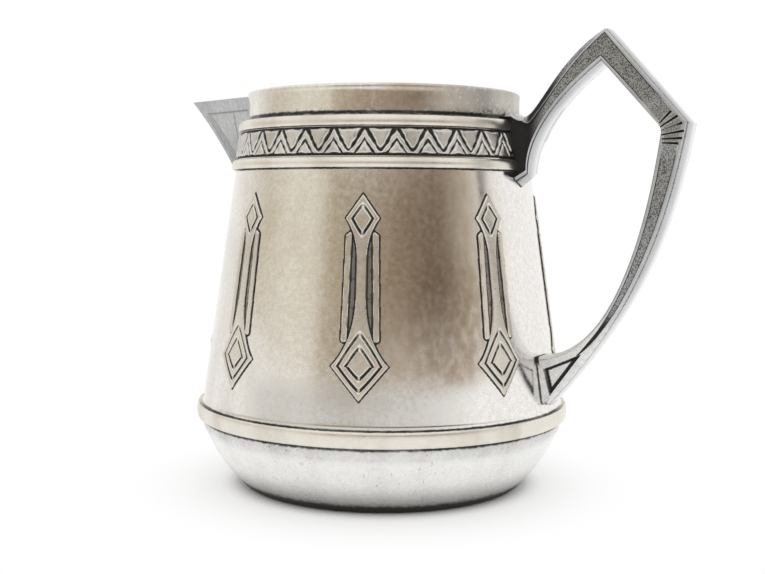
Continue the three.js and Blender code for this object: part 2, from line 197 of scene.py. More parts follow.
def soften(mesh, sharp):
    mesh.shade_smooth()
    mesh.set_sharp_from_angle(angle=math.radians(sharp))


def closeUp(piece, sharp=weld["sharp"]):  # doubles merged, faces outwards
    work = bmesh.new()
    work.from_mesh(piece.data)
    bmesh.ops.remove_doubles(work, verts=work.verts, dist=weld["doubles"] * mm)
    bmesh.ops.dissolve_degenerate(work, edges=work.edges, dist=weld["slivers"] * mm)
    bmesh.ops.recalc_face_normals(work, faces=work.faces)
    work.to_mesh(piece.data)
    work.free()
    soften(piece.data, sharp)
    return piece


def addMesh(name, points, faces, **values):  # values: one number for each point
    mesh = bpy.data.meshes.new(name)
    mesh.from_pydata(np.asarray(points, float).tolist(), [], [list(map(int, face)) for face in faces])
    for key, numbers in values.items():
        mesh.attributes.new(key, "FLOAT", "POINT").data.foreach_set("value", np.asarray(numbers, np.float32))
    piece = bpy.data.objects.new(name, mesh)
    scene.collection.objects.link(piece)
    return piece


def newPiece(name, points, faces, tarnish=None, sharp=weld["sharp"], finished=True):
    values = {} if tarnish is None else {"tarnish": tarnish}
    piece = addMesh(name, np.asarray(points, float) * mm, faces, **values)
    return closeUp(piece, sharp) if finished else piece


def freeze(piece):  # modifiers into a plain mesh
    graph = bpy.context.evaluated_depsgraph_get()
    mesh = bpy.data.meshes.new_from_object(piece.evaluated_get(graph), preserve_all_data_layers=True,
                                           depsgraph=graph)
    old = piece.data
    piece.modifiers.clear()
    piece.data = mesh
    mesh.name = piece.name
    bpy.data.meshes.remove(old)
    return piece


def carve(piece, cutter, sharp=weld["sharp"]):
    step = piece.modifiers.new("carve", "BOOLEAN")
    step.operation = "DIFFERENCE"
    step.solver = "MANIFOLD"
    step.object = cutter
    freeze(piece)
    return closeUp(piece, sharp)


def turned(name, profile, steps=288):
    turns = np.linspace(0, 2 * math.pi, steps, endpoint=False)
    points, rows, faces = [], [], []
    for radius, height in profile:
        count = steps if radius > 1e-6 else 1
        rows.append([len(points) + i for i in range(count)])
        points += [(radius * math.cos(t), radius * math.sin(t), height) for t in turns[:count]]
    pairs = list(zip(rows, rows[1:])) + ([(rows[-1], rows[0])] if len(rows[0]) > 1 else [])
    for low, high in pairs:
        for i in range(steps):
            j = (i + 1) % steps
            corners = [low[i % len(low)], low[j % len(low)], high[j % len(high)], high[i % len(high)]]
            faces.append(list(dict.fromkeys(corners)))
    return newPiece(name, points, faces)


def gridFaces(rows, columns):
    number = np.arange(rows * columns).reshape(rows, columns)
    return np.stack([number[:-1, :-1], number[:-1, 1:], number[1:, 1:], number[1:, :-1]], axis=-1).reshape(-1, 4)


def ringFaces(first, rings, count):  # closed tube of rings, each with count points
    last = first + (rings - 1) * count
    faces = [tuple(range(first, first + count)), tuple(range(last, last + count))[::-1]]
    for row in range(first, last, count):
        faces += [(row + i, row + (i + 1) % count, row + count + (i + 1) % count, row + count + i)
                  for i in range(count)]
    return faces


# the turned body
body = {"girth": 45.8, "flareIn": 0.9, "seam": 19.25, "bandTop": 21.2, "flareTop": 24.6,
        "topRadius": 35.36, "top": 90.2, "rim": 97.6, "collarRadius": 34.05, "sheet": 1.0, "gap": 0.3}
footRadius = body["girth"] - body["flareIn"]
taper = (footRadius - body["topRadius"]) / (body["top"] - body["flareTop"])


def wallAt(height):
    return footRadius - taper * (height - body["flareTop"])


def girthAt(height):
    return body["girth"] + 0 * height  # the same all the way up


bowl = {"floorRadius": 33.6, "flatShare": 0.97, "heelOut": 2.4, "heelRise": 1.2, "heelPull": (1.6, 0.1),
        "bellyOut": 9.6, "bellyRise": 8.4, "bandLow": 17.3, "ridge": 15.0, "ridgeOut": 0.22, "ridgeHalf": 0.5,
        "heelSteps": 8, "bellySteps": 40}


def makeBowl():
    floor = bowl["floorRadius"]
    heel = (floor + bowl["heelOut"], bowl["heelRise"])
    pull = (floor + bowl["heelPull"][0], bowl["heelPull"][1])
    belly = bow(heel, (floor + bowl["bellyOut"], bowl["bellyRise"]), (body["girth"], bowl["bandLow"]),
                bowl["bellySteps"])
    belly[:, 0] += bowl["ridgeOut"] * np.exp(-((belly[:, 1] - bowl["ridge"]) / bowl["ridgeHalf"]) ** 2)
    outside = np.vstack([
        [(0, 0), (floor * bowl["flatShare"], 0)],
        bow((floor, 0), pull, heel, bowl["heelSteps"])[:-1],
        belly,
        [(body["girth"], body["seam"])],
    ])
    inside = offsetLine(outside, body["sheet"])
    inside[0] = (0, body["sheet"])
    inside[-1] = (body["girth"] - body["sheet"], body["seam"])
    return turned("baseBowl", np.vstack([outside, inside[::-1]]))


wire = {"steps": 20, "swell": 0.5, "sink": 0.15,  # then each wire's low edge, height and thickness
        "baseBand": (17.3, 3.9, 1.15), "lowerBead": (78.6, 2.5, 1.15), "upperBead": (88.0, 2.5, 0.85)}


def makeWire(name, seat):
    low, height, thick = wire[name]
    turns = np.linspace(-math.pi / 2, math.pi / 2, wire["steps"] + 1)
    heights = low + height / 2 * (1 + np.sin(turns))
    face = np.stack([seat(heights) + thick * np.abs(np.cos(turns)) ** wire["swell"], heights], axis=1)
    back = [(seat(low + height) - wire["sink"], low + height), (seat(low) - wire["sink"], low)]
    return turned(name, np.vstack([face, back]))


barrel = {"flarePull": 21.6, "flareEnd": 22.3, "flareSteps": 10, "footRows": (23.4, 24.6, 25.8),
          "wallRows": (28, 78, 11), "seatDepth": 0.6, "seatLow": 81.3, "seatHigh": 87.8, "seatStep": 0.5,
          "seatLead": 0.4}


def makeBarrel():
    pull, end, low, high = barrel["flarePull"], barrel["flareEnd"], barrel["seatLow"], barrel["seatHigh"]
    flare = bow((body["girth"], body["bandTop"]), (wallAt(pull), pull), (wallAt(end), end), barrel["flareSteps"])
    rows = [*barrel["footRows"], *np.linspace(*barrel["wallRows"]), low - barrel["seatLead"], low]
    seat = [(wallAt(z) - barrel["seatDepth"], z) for z in (low + barrel["seatStep"], high - barrel["seatStep"])]
    outside = np.vstack([
        [(body["girth"], body["seam"] + body["gap"])],
        flare,
        [(wallAt(z), z) for z in rows],
        seat,
        [(wallAt(z), z) for z in (high, body["top"])],
    ])
    inside = offsetLine(outside, body["sheet"])
    return turned("barrelWall", np.vstack([outside, inside[::-1]]))


collar = {"foot": 88.7, "firstRow": 89.5, "lipStart": 1.9, "lipSteps": 12, "lipOut": 0.12,
          "swell": 0.02, "swellDown": 1.2, "outerRows": 8, "innerRows": 4}


def makeCollar():
    c, rim = collar, body["rim"]
    outer = body["collarRadius"]
    inner = outer - body["sheet"]
    half = body["sheet"] / 2 + c["lipOut"]  # slightly thickened, rounded edge
    turns = np.linspace(0, math.pi, c["lipSteps"] + 1)
    lip = np.stack([(outer + inner) / 2 + half * np.cos(turns), rim - half + half * np.sin(turns)], axis=1)
    lipStart, swellAt = rim - c["lipStart"], rim - c["swellDown"]
    outside = [(outer, z) for z in (c["foot"], *np.linspace(c["firstRow"], lipStart, c["outerRows"]))]
    inside = [(inner, z) for z in (*np.linspace(lipStart, c["firstRow"], c["innerRows"]), c["foot"])]
    return turned("collarRing", np.vstack([outside, [(outer + c["swell"], swellAt)], lip,
                                           [(inner - c["swell"], swellAt)], inside]))


spout = {"reach": 26.6, "tipRise": 0.6, "halfAngle": 26, "keelIn": 14.9, "keelDown": 16, "drop": 34, "sheet": 1.1,
         "rootIn": 5.4, "rootHalf": 18.9, "bury": 0.4, "collarFrom": 0.15, "rows": 130, "columns": 90,
         "cutRise": 8, "cutSteps": 60, "cutLap": 0.05, "cutGap": 0.15,
         "grooveDepth": 0.2, "grooveWidth": 0.36, "keelLines": (2.0, 3.4, 4.6), "keelFoot": 74,
         "lineHeight": 94.4, "lineRise": 0.3, "lineStart": 3.0, "lineEnd": 6.5,
         "sideLine": (41.2, 42.4), "sideFoot": 80, "sharp": 30}
tip = (body["collarRadius"] + spout["reach"], body["rim"] + spout["tipRise"])


def keelLine(steps):
    end = tip[1] - spout["drop"]
    return bow(tip, (tip[0] - spout["keelIn"], tip[1] - spout["keelDown"]), (wallAt(end), end), steps)


def spoutBlock(name, moved):  # wedge used for cutting
    slope = math.tan(math.radians(spout["halfAngle"]))
    shift = moved / math.sin(math.radians(spout["halfAngle"]))
    keel = keelLine(spout["cutSteps"]) + (shift, 0)
    backX, top = body["collarRadius"] - spout["rootIn"], tip[1] + spout["cutRise"]
    profile = np.vstack([[(backX, top), (tip[0] + shift, top)], keel, [(backX, keel[-1][1])]])
    layers = (-spout["rootHalf"], 0, spout["rootHalf"])
    points = [(-(x - abs(y) / slope), y, z) for y in layers for x, z in profile]
    return newPiece(name, points, ringFaces(0, len(layers), len(profile)))


def lineMask(x, z, a, b):  # 1 on the straight line from a to b
    run = np.array(b) - np.array(a)
    share = np.clip(((x - a[0]) * run[0] + (z - a[1]) * run[1]) / (run @ run), 0, 1)
    away = np.hypot(x - a[0] - share * run[0], z - a[1] - share * run[1])
    return np.clip(1 - away / spout["grooveWidth"], 0, 1)


def spoutLines(x, z, along):  # engraved frame on both cheeks
    s, top = spout, spout["lineHeight"]
    across = lineMask(x, z, (x[0, 0] + s["lineStart"], top), (tip[0] - s["lineEnd"], top + s["lineRise"]))
    beside = lineMask(x, z, (s["sideLine"][0], top), (s["sideLine"][1], s["sideFoot"]))
    shown = (z < top) & (z > s["keelFoot"])
    keel = [np.where(shown, np.clip(1 - np.abs(along - away) / s["grooveWidth"], 0, 1), 0)
            for away in s["keelLines"]]
    return np.maximum.reduce([across, beside, *keel])


def makeSpout():
    angle = math.radians(spout["halfAngle"])
    keel = keelLine(spout["rows"])
    height = keel[:, 1:]
    atCollar = height > body["top"] + spout["collarFrom"]
    bodyRadius = np.where(atCollar, body["collarRadius"], wallAt(height)) - spout["bury"]
    shares = np.linspace(-1, 1, 2 * spout["columns"] + 1)[None, :]

    def sheet(inwards):
        front = np.maximum(keel[:, :1] - inwards / math.sin(angle), bodyRadius)
        length = front * math.cos(angle) - np.sqrt(bodyRadius ** 2 - (front * math.sin(angle)) ** 2)
        along = np.abs(shares) * length
        x = front - along * math.cos(angle)
        y = np.sign(shares) * along * math.sin(angle)
        lid = tip[1] - spout["tipRise"] * (tip[0] - x) / spout["reach"]
        return x, y, np.minimum(np.broadcast_to(height, x.shape), lid), along

    x, y, z, along = sheet(0)
    dark = spoutLines(x, z, along)
    outside = np.stack([-x, y, z], axis=-1)
    normal = np.cross(np.gradient(outside, axis=1), np.gradient(outside, axis=0))
    normal /= np.maximum(np.linalg.norm(normal, axis=-1, keepdims=True), 1e-9)
    away = np.stack([-np.ones_like(x), np.sign(y), -np.ones_like(x)], axis=-1)
    normal *= np.sign((normal * away).sum(axis=-1, keepdims=True))
    outside -= normal * spout["grooveDepth"] * dark[..., None]
    x, y, z = sheet(spout["sheet"])[:3]
    inside = np.stack([-x, y, z], axis=-1)
    rows, columns = outside.shape[:2]
    behind = rows * columns
    number = np.arange(behind).reshape(rows, columns)
    faces = gridFaces(rows, columns)
    rim = [(a, b, b + behind, a + behind) for run in (number[0], number[-1], number[:, 0], number[:, -1])
           for a, b in zip(run, run[1:])]
    points = np.vstack([outside.reshape(-1, 3), inside.reshape(-1, 3)])
    tarnish = np.concatenate([dark.ravel(), np.zeros(behind)])
    return newPiece("spoutCheeks", points, [*faces, *(faces[:, ::-1] + behind), *rim], tarnish, spout["sharp"])


# reliefs: a flat height map, then wrapped on the cone by the tree below
def reliefSheet(name, across, along, height, floor, tarnish, plainBack=False):
    solid = height > floor + 1e-6
    cell = solid[:-1, :-1] | solid[1:, :-1] | solid[:-1, 1:] | solid[1:, 1:]
    used = np.zeros(height.shape, bool)
    for rows in (slice(0, -1), slice(1, None)):
        for columns in (slice(0, -1), slice(1, None)):
            used[rows, columns] |= cell
    count = int(used.sum())
    number = np.full(height.shape, -1)
    number[used] = np.arange(count)
    u, v = np.meshgrid(across, along)
    face = np.stack([u[used], v[used], height[used]], axis=1)
    r, c = np.nonzero(cell)
    corners = np.stack([number[r, c], number[r, c + 1], number[r + 1, c + 1], number[r + 1, c]], axis=1)
    if plainBack:  # one face behind each column, between the first and last rows
        behind = np.stack([number[0, 1:], number[0, :-1], number[-1, :-1], number[-1, 1:]], axis=1)
        return newPiece(name, face, np.vstack([corners, behind]), tarnish[used], finished=False)
    back = np.stack([u[used], v[used], np.full(count, floor)], axis=1)
    faces = np.vstack([corners, corners[:, ::-1] + count])
    shown = np.concatenate([tarnish[used], np.ones(count)])
    return newPiece(name, np.vstack([face, back]), faces, shown, finished=False)


def edge(distance, width):  # 0 outside an outline, 1 inside, over a soft step
    share = np.clip(distance / width + 0.5, 0, 1)
    return share * share * (3 - 2 * share)


def atLeast(least, share):
    return least + (1 - least) * share


def wrapTree():
    tree = bpy.data.node_groups.new("roundTheWall", "GeometryNodeTree")
    kinds = {"Geometry": "NodeSocketGeometry", "Count": "NodeSocketInt", "First Turn": "NodeSocketFloat",
             "Foot Radius": "NodeSocketFloat", "Foot Height": "NodeSocketFloat", "Taper": "NodeSocketFloat",
             "Even Radius": "NodeSocketFloat", "Even Share": "NodeSocketFloat", "Metal": "NodeSocketMaterial"}
    for name, kind in kinds.items():
        tree.interface.new_socket(name=name, in_out="INPUT", socket_type=kind)
    tree.interface.new_socket(name="Geometry", in_out="OUTPUT", socket_type="NodeSocketGeometry")
    graph = Graph(tree)
    given = graph.add("NodeGroupInput")
    flat = graph.add("ShaderNodeSeparateXYZ", None, {0: graph.add("GeometryNodeInputPosition")["Position"]})
    wall = given["Foot Radius"] - given["Taper"] * (flat["Y"] - given["Foot Height"])
    turn = flat["X"] / (wall * (1 - given["Even Share"]) + given["Even Radius"] * given["Even Share"])
    radius = wall + flat["Z"]
    place = graph.add("ShaderNodeCombineXYZ", None, {
        "X": radius * turn.cosine(), "Y": radius * turn.sine(), "Z": flat["Y"]})["Vector"]
    bent = graph.add("GeometryNodeSetPosition", None,
                     {"Geometry": given["Geometry"], "Position": place})["Geometry"]
    single = graph.add("GeometryNodeGeometryToInstance", None, {0: bent})["Instances"]
    many = graph.add("GeometryNodeDuplicateElements", {"domain": "INSTANCE"},
                     {"Geometry": single, "Amount": given["Count"]})
    spin = given["First Turn"] + many["Duplicate Index"] * (2 * math.pi) / given["Count"]
    spun = graph.add("FunctionNodeAxisAngleToRotation", None, {"Axis": (0, 0, 1), "Angle": spin})["Rotation"]
    placed = graph.add("GeometryNodeRotateInstances", None,
                       {"Instances": many["Geometry"], "Rotation": spun, "Local Space": False})["Instances"]
    real = graph.add("GeometryNodeRealizeInstances", None, {"Geometry": placed})["Geometry"]
    metal = graph.add("GeometryNodeSetMaterial", None, {"Geometry": real, "Material": given["Metal"]})["Geometry"]
    graph.add("NodeGroupOutput", None, {"Geometry": metal})
    return tree


reliefSharp = 50


def wrapOn(piece, tree, metal, count, firstTurn, evenRadius=0.0):
    step = piece.modifiers.new("wrap", "NODES")
    step.node_group = tree
    values = {"Count": count, "First Turn": firstTurn, "Foot Radius": footRadius * mm,
              "Foot Height": body["flareTop"] * mm, "Taper": taper, "Even Radius": evenRadius * mm,
              "Even Share": 1.0 if evenRadius else 0.0, "Metal": metal}
    for item in tree.interface.items_tree:
        if item.in_out == "INPUT" and item.name in values:
            step[item.identifier] = values[item.name]
    freeze(piece)
    return closeUp(piece, reliefSharp)


frieze = {"low": 81.4, "high": 87.7, "lap": 0.01, "repeats": 32, "perLength": 4,
          "marginLow": 0.4, "marginHigh": 0.35,
          "drape": (1.05, 2.05, 1.0), "ribbon": (0.45, 1.65, 0.9),  # tip, slope and rounding of each V
          "toothTall": 2.85, "toothSlope": 1.46, "toothGap": 0.62, "top": 0.52, "back": -0.5, "bevel": 0.22,
          "pillow": 0.3, "pillowRun": 0.6, "pillowPower": 0.7, "tarnishStep": 0.5, "cell": 0.125,
          "wobble": 0.05, "waves": ((10, 1.7, 0), (-7, 3.1, 0.8), (3, 2.2, 1.1))}  # waves along, up, start


def friezeSheet(name):
    f = frieze
    middle = (f["low"] + f["high"]) / 2
    half = math.pi * wallAt(middle) / f["repeats"]
    length = 2 * half * f["perLength"]
    across = np.linspace(-length / 2, length / 2, f["perLength"] * int(2 * half / f["cell"]) + 1)
    rows = np.linspace(f["low"], f["high"], int((f["high"] - f["low"]) / f["cell"]) + 1)
    along = np.concatenate([[f["low"] - f["lap"]], rows, [f["high"] + f["lap"]]])
    u, v = np.meshgrid(across, along)
    wave = 2 * math.pi * u / length
    wobble = f["wobble"] * sum(np.sin(a * wave + b * v + c) for a, b, c in f["waves"])  # hand-worked edges
    u = np.abs((u + half) % (2 * half) - half)
    low, high = f["low"] + f["marginLow"], f["high"] - f["marginHigh"]

    def above(tip, slope, rounding):  # distance above a V with a rounded tip, between two teeth
        run = np.hypot(slope * (half - u), rounding)
        return (v - low - tip + rounding - run) / np.hypot(1, slope ** 2 * (half - u) / run)

    leaning = math.hypot(1, f["toothSlope"])
    tooth = (f["toothTall"] - f["toothSlope"] * u - v + low) / leaning
    ribbon = np.minimum.reduce([-above(*f["ribbon"]), -tooth - f["toothGap"] / leaning, v - low])
    tooth = np.minimum(tooth, v - low)
    drape = np.minimum(above(*f["drape"]), high - v)
    inside = np.maximum.reduce([ribbon, tooth, drape]) + wobble
    pillow = f["pillow"] * (np.clip(inside / f["pillowRun"], 0, 1) ** f["pillowPower"] - 1)
    height = (f["top"] + pillow) * edge(inside, f["bevel"])
    height[0] = height[-1] = f["back"]
    tarnish = 1 - edge(inside, f["tarnishStep"])
    return reliefSheet(name, across, along, height, f["back"], tarnish, plainBack=True), wallAt(middle)


ornament = {"count": 8, "top": 72.7, "length": 45.1, "columns": 52, "margin": 1.0, "cell": 0.14,
            "upperDown": 5.3, "upperHalf": 3.7, "upperFall": 6.1, "upperPull": 5.2,
            "waistHalf": 1.1, "waistStart": 14.2, "waistEnd": 21.7, "bowSteps": (24, 36),
            "lowerDown": 37.7, "lowerHalf": 6.3, "lowerRise": 9.6, "lowerPull": 10.4, "bowed": 1.15, "bowedTo": 1.5,
            "railInner": 2.95, "railOuter": 4.25, "railStart": 8.3, "railEnd": 32.4, "railRound": 0.6,
            "railLean": 0.65, "railTip": 1.1, "railPeak": 0.3, "groundIn": 1.2,
            "insets": (1.05, 1.05, 2.7), "groove": 0.58, "grooveDepth": 0.3, "grooveStep": 0.2,
            "back": -0.2, "outline": 0.44, "outlineFace": 0.04, "ground": 0.12, "face": 0.48, "bevel": 0.24,
            "ink": {  # where it is dark: shares, or places with their soft steps
                "rubbed": 0.3, "corner": (0.55, 0.7), "foot": (0.9, 0.8), "tip": (0.3, 0.4), "upper": 0.66,
                # upper and the step after it: painted light, with grooves less dark on the upper half of each
                # lozenge
                "upperStep": (-0.5, 1.2), "outline": (-0.08, 0.3), "crevice": (-0.2, 0.24), "creviceShare": 1.8,
                "closing": (-0.1, 0.14), "closingRun": 1.6, "ground": 0.5}}


def spearHalf(down):  # half width of the spear, by the distance below its top
    o = ornament
    upperBow = bow((o["upperHalf"], o["upperDown"]), (o["waistHalf"], o["waistStart"] - o["upperPull"]),
                   (o["waistHalf"], o["waistStart"]), o["bowSteps"][0])
    lowerBow = bow((o["waistHalf"], o["waistEnd"]), (o["waistHalf"], o["waistEnd"] + o["lowerPull"]),
                   (o["lowerHalf"], o["lowerDown"]), o["bowSteps"][1])
    line = np.vstack([[(-1, -1)], [(0, 0)], upperBow, lowerBow, [(0, o["length"]), (-1, o["length"] + 1)]])
    return np.interp(down, line[:, 1], line[:, 0])


def lozenge(u, down, middle, half, rise, fall, inset):
    narrow = 1 - np.minimum(u / half, ornament["bowedTo"]) ** ornament["bowed"]
    above = narrow * rise - (middle - down)
    below = narrow * fall - (down - middle)
    reachUp = above * half / math.hypot(half, rise)
    reachDown = below * half / math.hypot(half, fall)
    return np.where(down < middle, reachUp, reachDown) - inset


def railInside(u, down):  # distances inside the rails, which lean closer at the top, and inside the ground
    o = ornament
    start, end, wide = o["railStart"], o["railEnd"], o["railOuter"] - o["railInner"]
    leaning = u + o["railLean"] * np.clip((end - down) / (end - start), 0, 1)
    beside = np.abs(leaning - o["railInner"] - wide / 2) - wide / 2 + o["railRound"]
    beyond = np.abs(down - (start + end) / 2) - (end - start) / 2 + o["railRound"]
    rail = (o["railRound"] - np.hypot(np.maximum(beside, 0), np.maximum(beyond, 0))
            - np.minimum(np.maximum(beside, beyond), 0))
    cut = down - start - o["railTip"] * np.abs(leaning - o["railInner"] - o["railPeak"] * wide) / wide
    ends = np.minimum(down - start, end - down) - o["groundIn"]
    rail = np.minimum(rail, cut * wide / math.hypot(wide, o["railTip"]))
    return rail, np.minimum(o["railOuter"] - leaning, ends), ends


def ornamentSheet(name):
    o = ornament
    across = np.arange(-o["columns"], o["columns"] + 1) * o["cell"]
    along = np.arange(o["top"] - o["length"] - o["margin"], o["top"] + o["margin"], o["cell"])
    u, v = np.meshgrid(across, along)
    u, down = np.abs(u), o["top"] - v
    half = spearHalf(down)
    slope = np.gradient(half[:, 0], along)[:, None]
    rail, ground, ends = railInside(u, down)
    raised = np.maximum((half - u) / np.hypot(1, slope), rail)
    upperLozenge = (o["upperDown"], o["upperHalf"], o["upperDown"], o["upperFall"])
    lowerLozenge = (o["lowerDown"], o["lowerHalf"], o["lowerRise"], o["length"] - o["lowerDown"])
    shapes = (upperLozenge, lowerLozenge, lowerLozenge)
    insides = [lozenge(u, down, *shape, inset) for shape, inset in zip(shapes, o["insets"])]
    wide = o["groove"] / 2
    groove = np.maximum.reduce([edge(wide - np.abs(away - wide), o["grooveStep"]) for away in insides])
    top = edge(raised, o["bevel"])
    inside = np.maximum(raised, ground)
    height = o["outlineFace"] + (o["ground"] - o["outlineFace"]) * edge(ground, o["bevel"])
    height = height + (o["face"] - height) * top - o["grooveDepth"] * groove * top
    height = np.where(inside < -o["outline"], o["back"], height)

    ink = o["ink"]

    def inkStep(distance, key):
        place, soft = ink[key]
        return edge(distance - place, soft)

    middle = np.where(down < o["waistEnd"], o["upperDown"], o["lowerDown"])
    # painted light from above: grooves are less dark on each lozenge's upper half
    litFromAbove = atLeast(ink["upper"], inkStep(down - middle, "upperStep"))
    inked = groove * atLeast(ink["rubbed"], inkStep(u, "tip")) * litFromAbove  # grooves, open at their tips
    corners = [inkStep(np.abs(down - o[key]), "corner") for key in ("upperDown", "lowerDown")]
    kept = atLeast(ink["rubbed"], np.minimum.reduce([*corners, inkStep(o["length"] - down, "foot")]))
    away, wide = ink["crevice"]
    crevice = np.clip(ink["creviceShare"] * (1 - np.abs(raised - away) / wide), 0, 1)
    lines = np.maximum.reduce([1 - inkStep(inside, "outline"), crevice, ink["ground"] * (1 - top)]) * kept
    closing = (1 - np.clip(ends / ink["closingRun"], 0, 1)) * (1 - inkStep(raised, "closing"))
    tarnish = np.maximum.reduce([inked, lines, closing])
    return reliefSheet(name, across, along, height, o["back"], tarnish)


handle = {
    "width": 9.4, "edge": 0.5, "border": 0.75, "wall": 0.2, "panelDepth": 0.34, "rootDepth": 1.3, "crown": 0.25,
    "edgeMost": 0.2, "borderMost": 0.34, "pinchMost": 0.46, "wallMost": 0.08, "wallPinch": 0.7,  # as shares
    "lineIn": 1.1, "lineWidth": 0.52, "lineDepth": 0.3, "lineTone": 0.95, "floorTone": (0.4, 0.54),
    "floorRows": (0.96, 0.8, 0.6, 0.4, 0.2, 0.04), "chamfer": (0.4, 0.12, 0.1), "step": 0.02, "sharp": 38,
    "rootWall": 36.18, "rootIn": 2.0, "footIn": 3.0, "bury": 0.5, "rootSlope": 0.6, "rootPinch": 0.35,
    "rootShare": 0.5, "rootRun": 0.3, "rootOxideAndShadeRun": 0.55, "topPanelEnd": (0.76, 0.2), "elbowShare": 0.03,
    "leanAt": (0, 0.15, 0.5, 0.9, 1), "leanBy": (0, 1, 1, 0.4, 0), "leanWide": 1.3, "leanIn": 0.45, "leanShadeTone": 0.9,
    "lowPanelStart": (0.05, 0.05), "lowPanelEnd": (0.82, 0.02), "lowBlack": (0.5, 0.18),
    "pinchFrom": (0.56, 0.24), "pinchPower": 1.3, "slimAt": (0.6, 0.4), "footSlim": 0.3, "footEdge": 0.5,
    "faceDepth": 0.4, "sheenSlope": 1.1, "sheenMiddle": 0.3, "sheenMost": 0.9,
    "armSteps": ((0, 1, 60),), "topSteps": ((0, 0.78, 34), (0.78, 0.83, 14), (0.83, 1, 10)), "elbowSteps": 12,
    "lowSteps": ((0, 0.06, 20), (0.06, 1, 130)),  # from, to, count
    "upper": {  # out from the wall, down from the rim
        "lip": (0.4, 5.8), "lipPull": (1.9, 6.9), "dip": (3.1, 6.9), "dipPull": (7.0, 6.9), "apexPull": (10.5, -5.4),
        "apex": (22.7, -12.4), "elbow": (41.4, 8.8), "elbowPull": (36.5, 38.3), "rootTip": (1.2, 23.2),
        "innerRoot": (4.1, 20.9), "innerRootPull": (4.1, 8.8), "innerApexPull": (14.1, 0.4),
        "innerApex": (21.7, -5.6), "bendTop": (34.2, 8.2), "bendPull": (36.1, 9.9), "bendLow": (35.7, 11.4),
        "bendLowPull": (32.4, 36.3), "fanFirst": (35.5, 9.0), "fanLast": (36.2, 13.3)},
    "lower": {  # out from the wall, up from the flare
        "tip": (1.5, -1.0), "tipPull": (18.6, 18.9), "top": (-1.7, 10.3), "topPull": (16.1, 11.2)},
    "fan": {"cuts": 6, "turns": (46, -3), "bunched": 1.5, "length": 3.6, "longer": 1.5, "width": 0.62, "depth": 0.55,
            "clear": 0.3, "taper": (1.15, 0.6)},
    "footPanel": {"corners": ((0.4, 7.4), (9.3, 11.4), (2.0, 1.4)), "depth": 0.9, "clear": 0.3,
                  "shifts": (0, 0, 0.45, 0.45), "sizes": (1.1, 0.9, 0.68, 0.58), "tones": (0.3, 1, 1, 0.12)},
}


def upper(out, drop):
    return np.array((handle["rootWall"] + out, body["rim"] - drop))


def lower(out, up):
    return np.array((footRadius + out, body["flareTop"] + up))


def shareSteps(*runs):
    return np.concatenate([np.linspace(start, end, count)[:-1] for start, end, count in runs])


def stations(outer, inner, sunk=0, black=0, root=0, slim=0, pinch=0, lean=0):
    shares = [np.broadcast_to(value, (len(outer),)) for value in (sunk, black, root, slim, pinch, lean)]
    return list(zip(outer, inner, *shares))


def handleStations():
    h = handle
    p = SimpleNamespace(**{name: upper(*place) for name, place in h["upper"].items()})
    foot = SimpleNamespace(**{name: lower(*place) for name, place in h["lower"].items()})
    inWall, inFoot = h["rootWall"] - h["rootIn"], footRadius - h["footIn"]
    lipRun = np.vstack([np.linspace((inWall, p.lip[1]), p.lip, 6)[:-1], bow(p.lip, p.lipPull, p.dip, 9)[:-1]])
    tipRun = np.vstack([np.linspace((inWall, p.rootTip[1]), p.rootTip, 8)[:-1],
                        np.linspace(p.rootTip, p.innerRoot, 8)[:-1]])
    # the root is painted black: oxide in its deep recess, and painted shade
    found = stations(lipRun, tipRun, h["rootDepth"], 1, np.linspace(1, h["rootShare"], len(lipRun)))

    t = shareSteps(*h["armSteps"])  # root to apex
    black = np.clip(1 - t / h["rootOxideAndShadeRun"], 0, 1)
    found += stations(reach(p.dip, p.dipPull, p.apexPull, p.apex, t),
                      reach(p.innerRoot, p.innerRootPull, p.innerApexPull, p.innerApex, t),
                      h["panelDepth"] + (h["rootDepth"] - h["panelDepth"]) * black, black,
                      h["rootShare"] * np.clip(1 - t / h["rootRun"], 0, 1),
                      lean=np.interp(t, h["leanAt"], h["leanBy"]))

    t = shareSteps(*h["topSteps"])  # apex to elbow
    line, (end, soft) = t[:, None], h["topPanelEnd"]
    found += stations(p.apex * (1 - line) + p.elbow * line, p.innerApex * (1 - line) + p.bendTop * line,
                      h["panelDepth"] * (1 - edge(t - end, soft)))

    start, count = h["elbowShare"], h["elbowSteps"]  # round the elbow
    rightOuter = (p.elbow, p.elbowPull, foot.tipPull, foot.tip)
    found += stations(reach(*rightOuter, shareSteps((0, start, count + 1))),
                      bow(p.bendTop, p.bendPull, p.bendLow, count)[:-1])

    t = np.append(shareSteps(*h["lowSteps"]), 1)  # elbow to foot
    (first, firstSoft), (last, lastSoft) = h["lowPanelStart"], h["lowPanelEnd"]
    panel = edge(t - first, firstSoft) * (1 - edge(t - last, lastSoft))
    black, pinch = (np.clip((t - at) / run, 0, 1) for at, run in (h["lowBlack"], h["pinchFrom"]))
    slimAt, slimSoft = h["slimAt"]
    found += stations(reach(*rightOuter, start + (1 - start) * t),
                      reach(p.bendLow, p.bendLowPull, foot.topPull, foot.top, t),
                      h["panelDepth"] * panel, black, 0, edge(t - slimAt, slimSoft), pinch ** h["pinchPower"])
    return found + stations(np.linspace(foot.tip, (inFoot, foot.tip[1]), 5)[1:],
                            np.linspace(foot.top, (inFoot, foot.top[1]), 5)[1:], slim=1)


def faceLine(half, rounding):  # across the outer or inner face, from its middle: place, sinking, tarnish
    wide, deep, tone, step = (handle[key] for key in ("lineWidth", "lineDepth", "lineTone", "step"))
    line = half - max(handle["lineIn"], rounding + wide + 4 * step)
    return [(0, 0, 0), (line * 0.5, 0, 0), (line - wide, 0, 0), (line - wide * 0.5, deep, tone),
            (line + wide * 0.75, deep, tone), (line + wide, 0, 0), (half - rounding - step, 0, 0)]


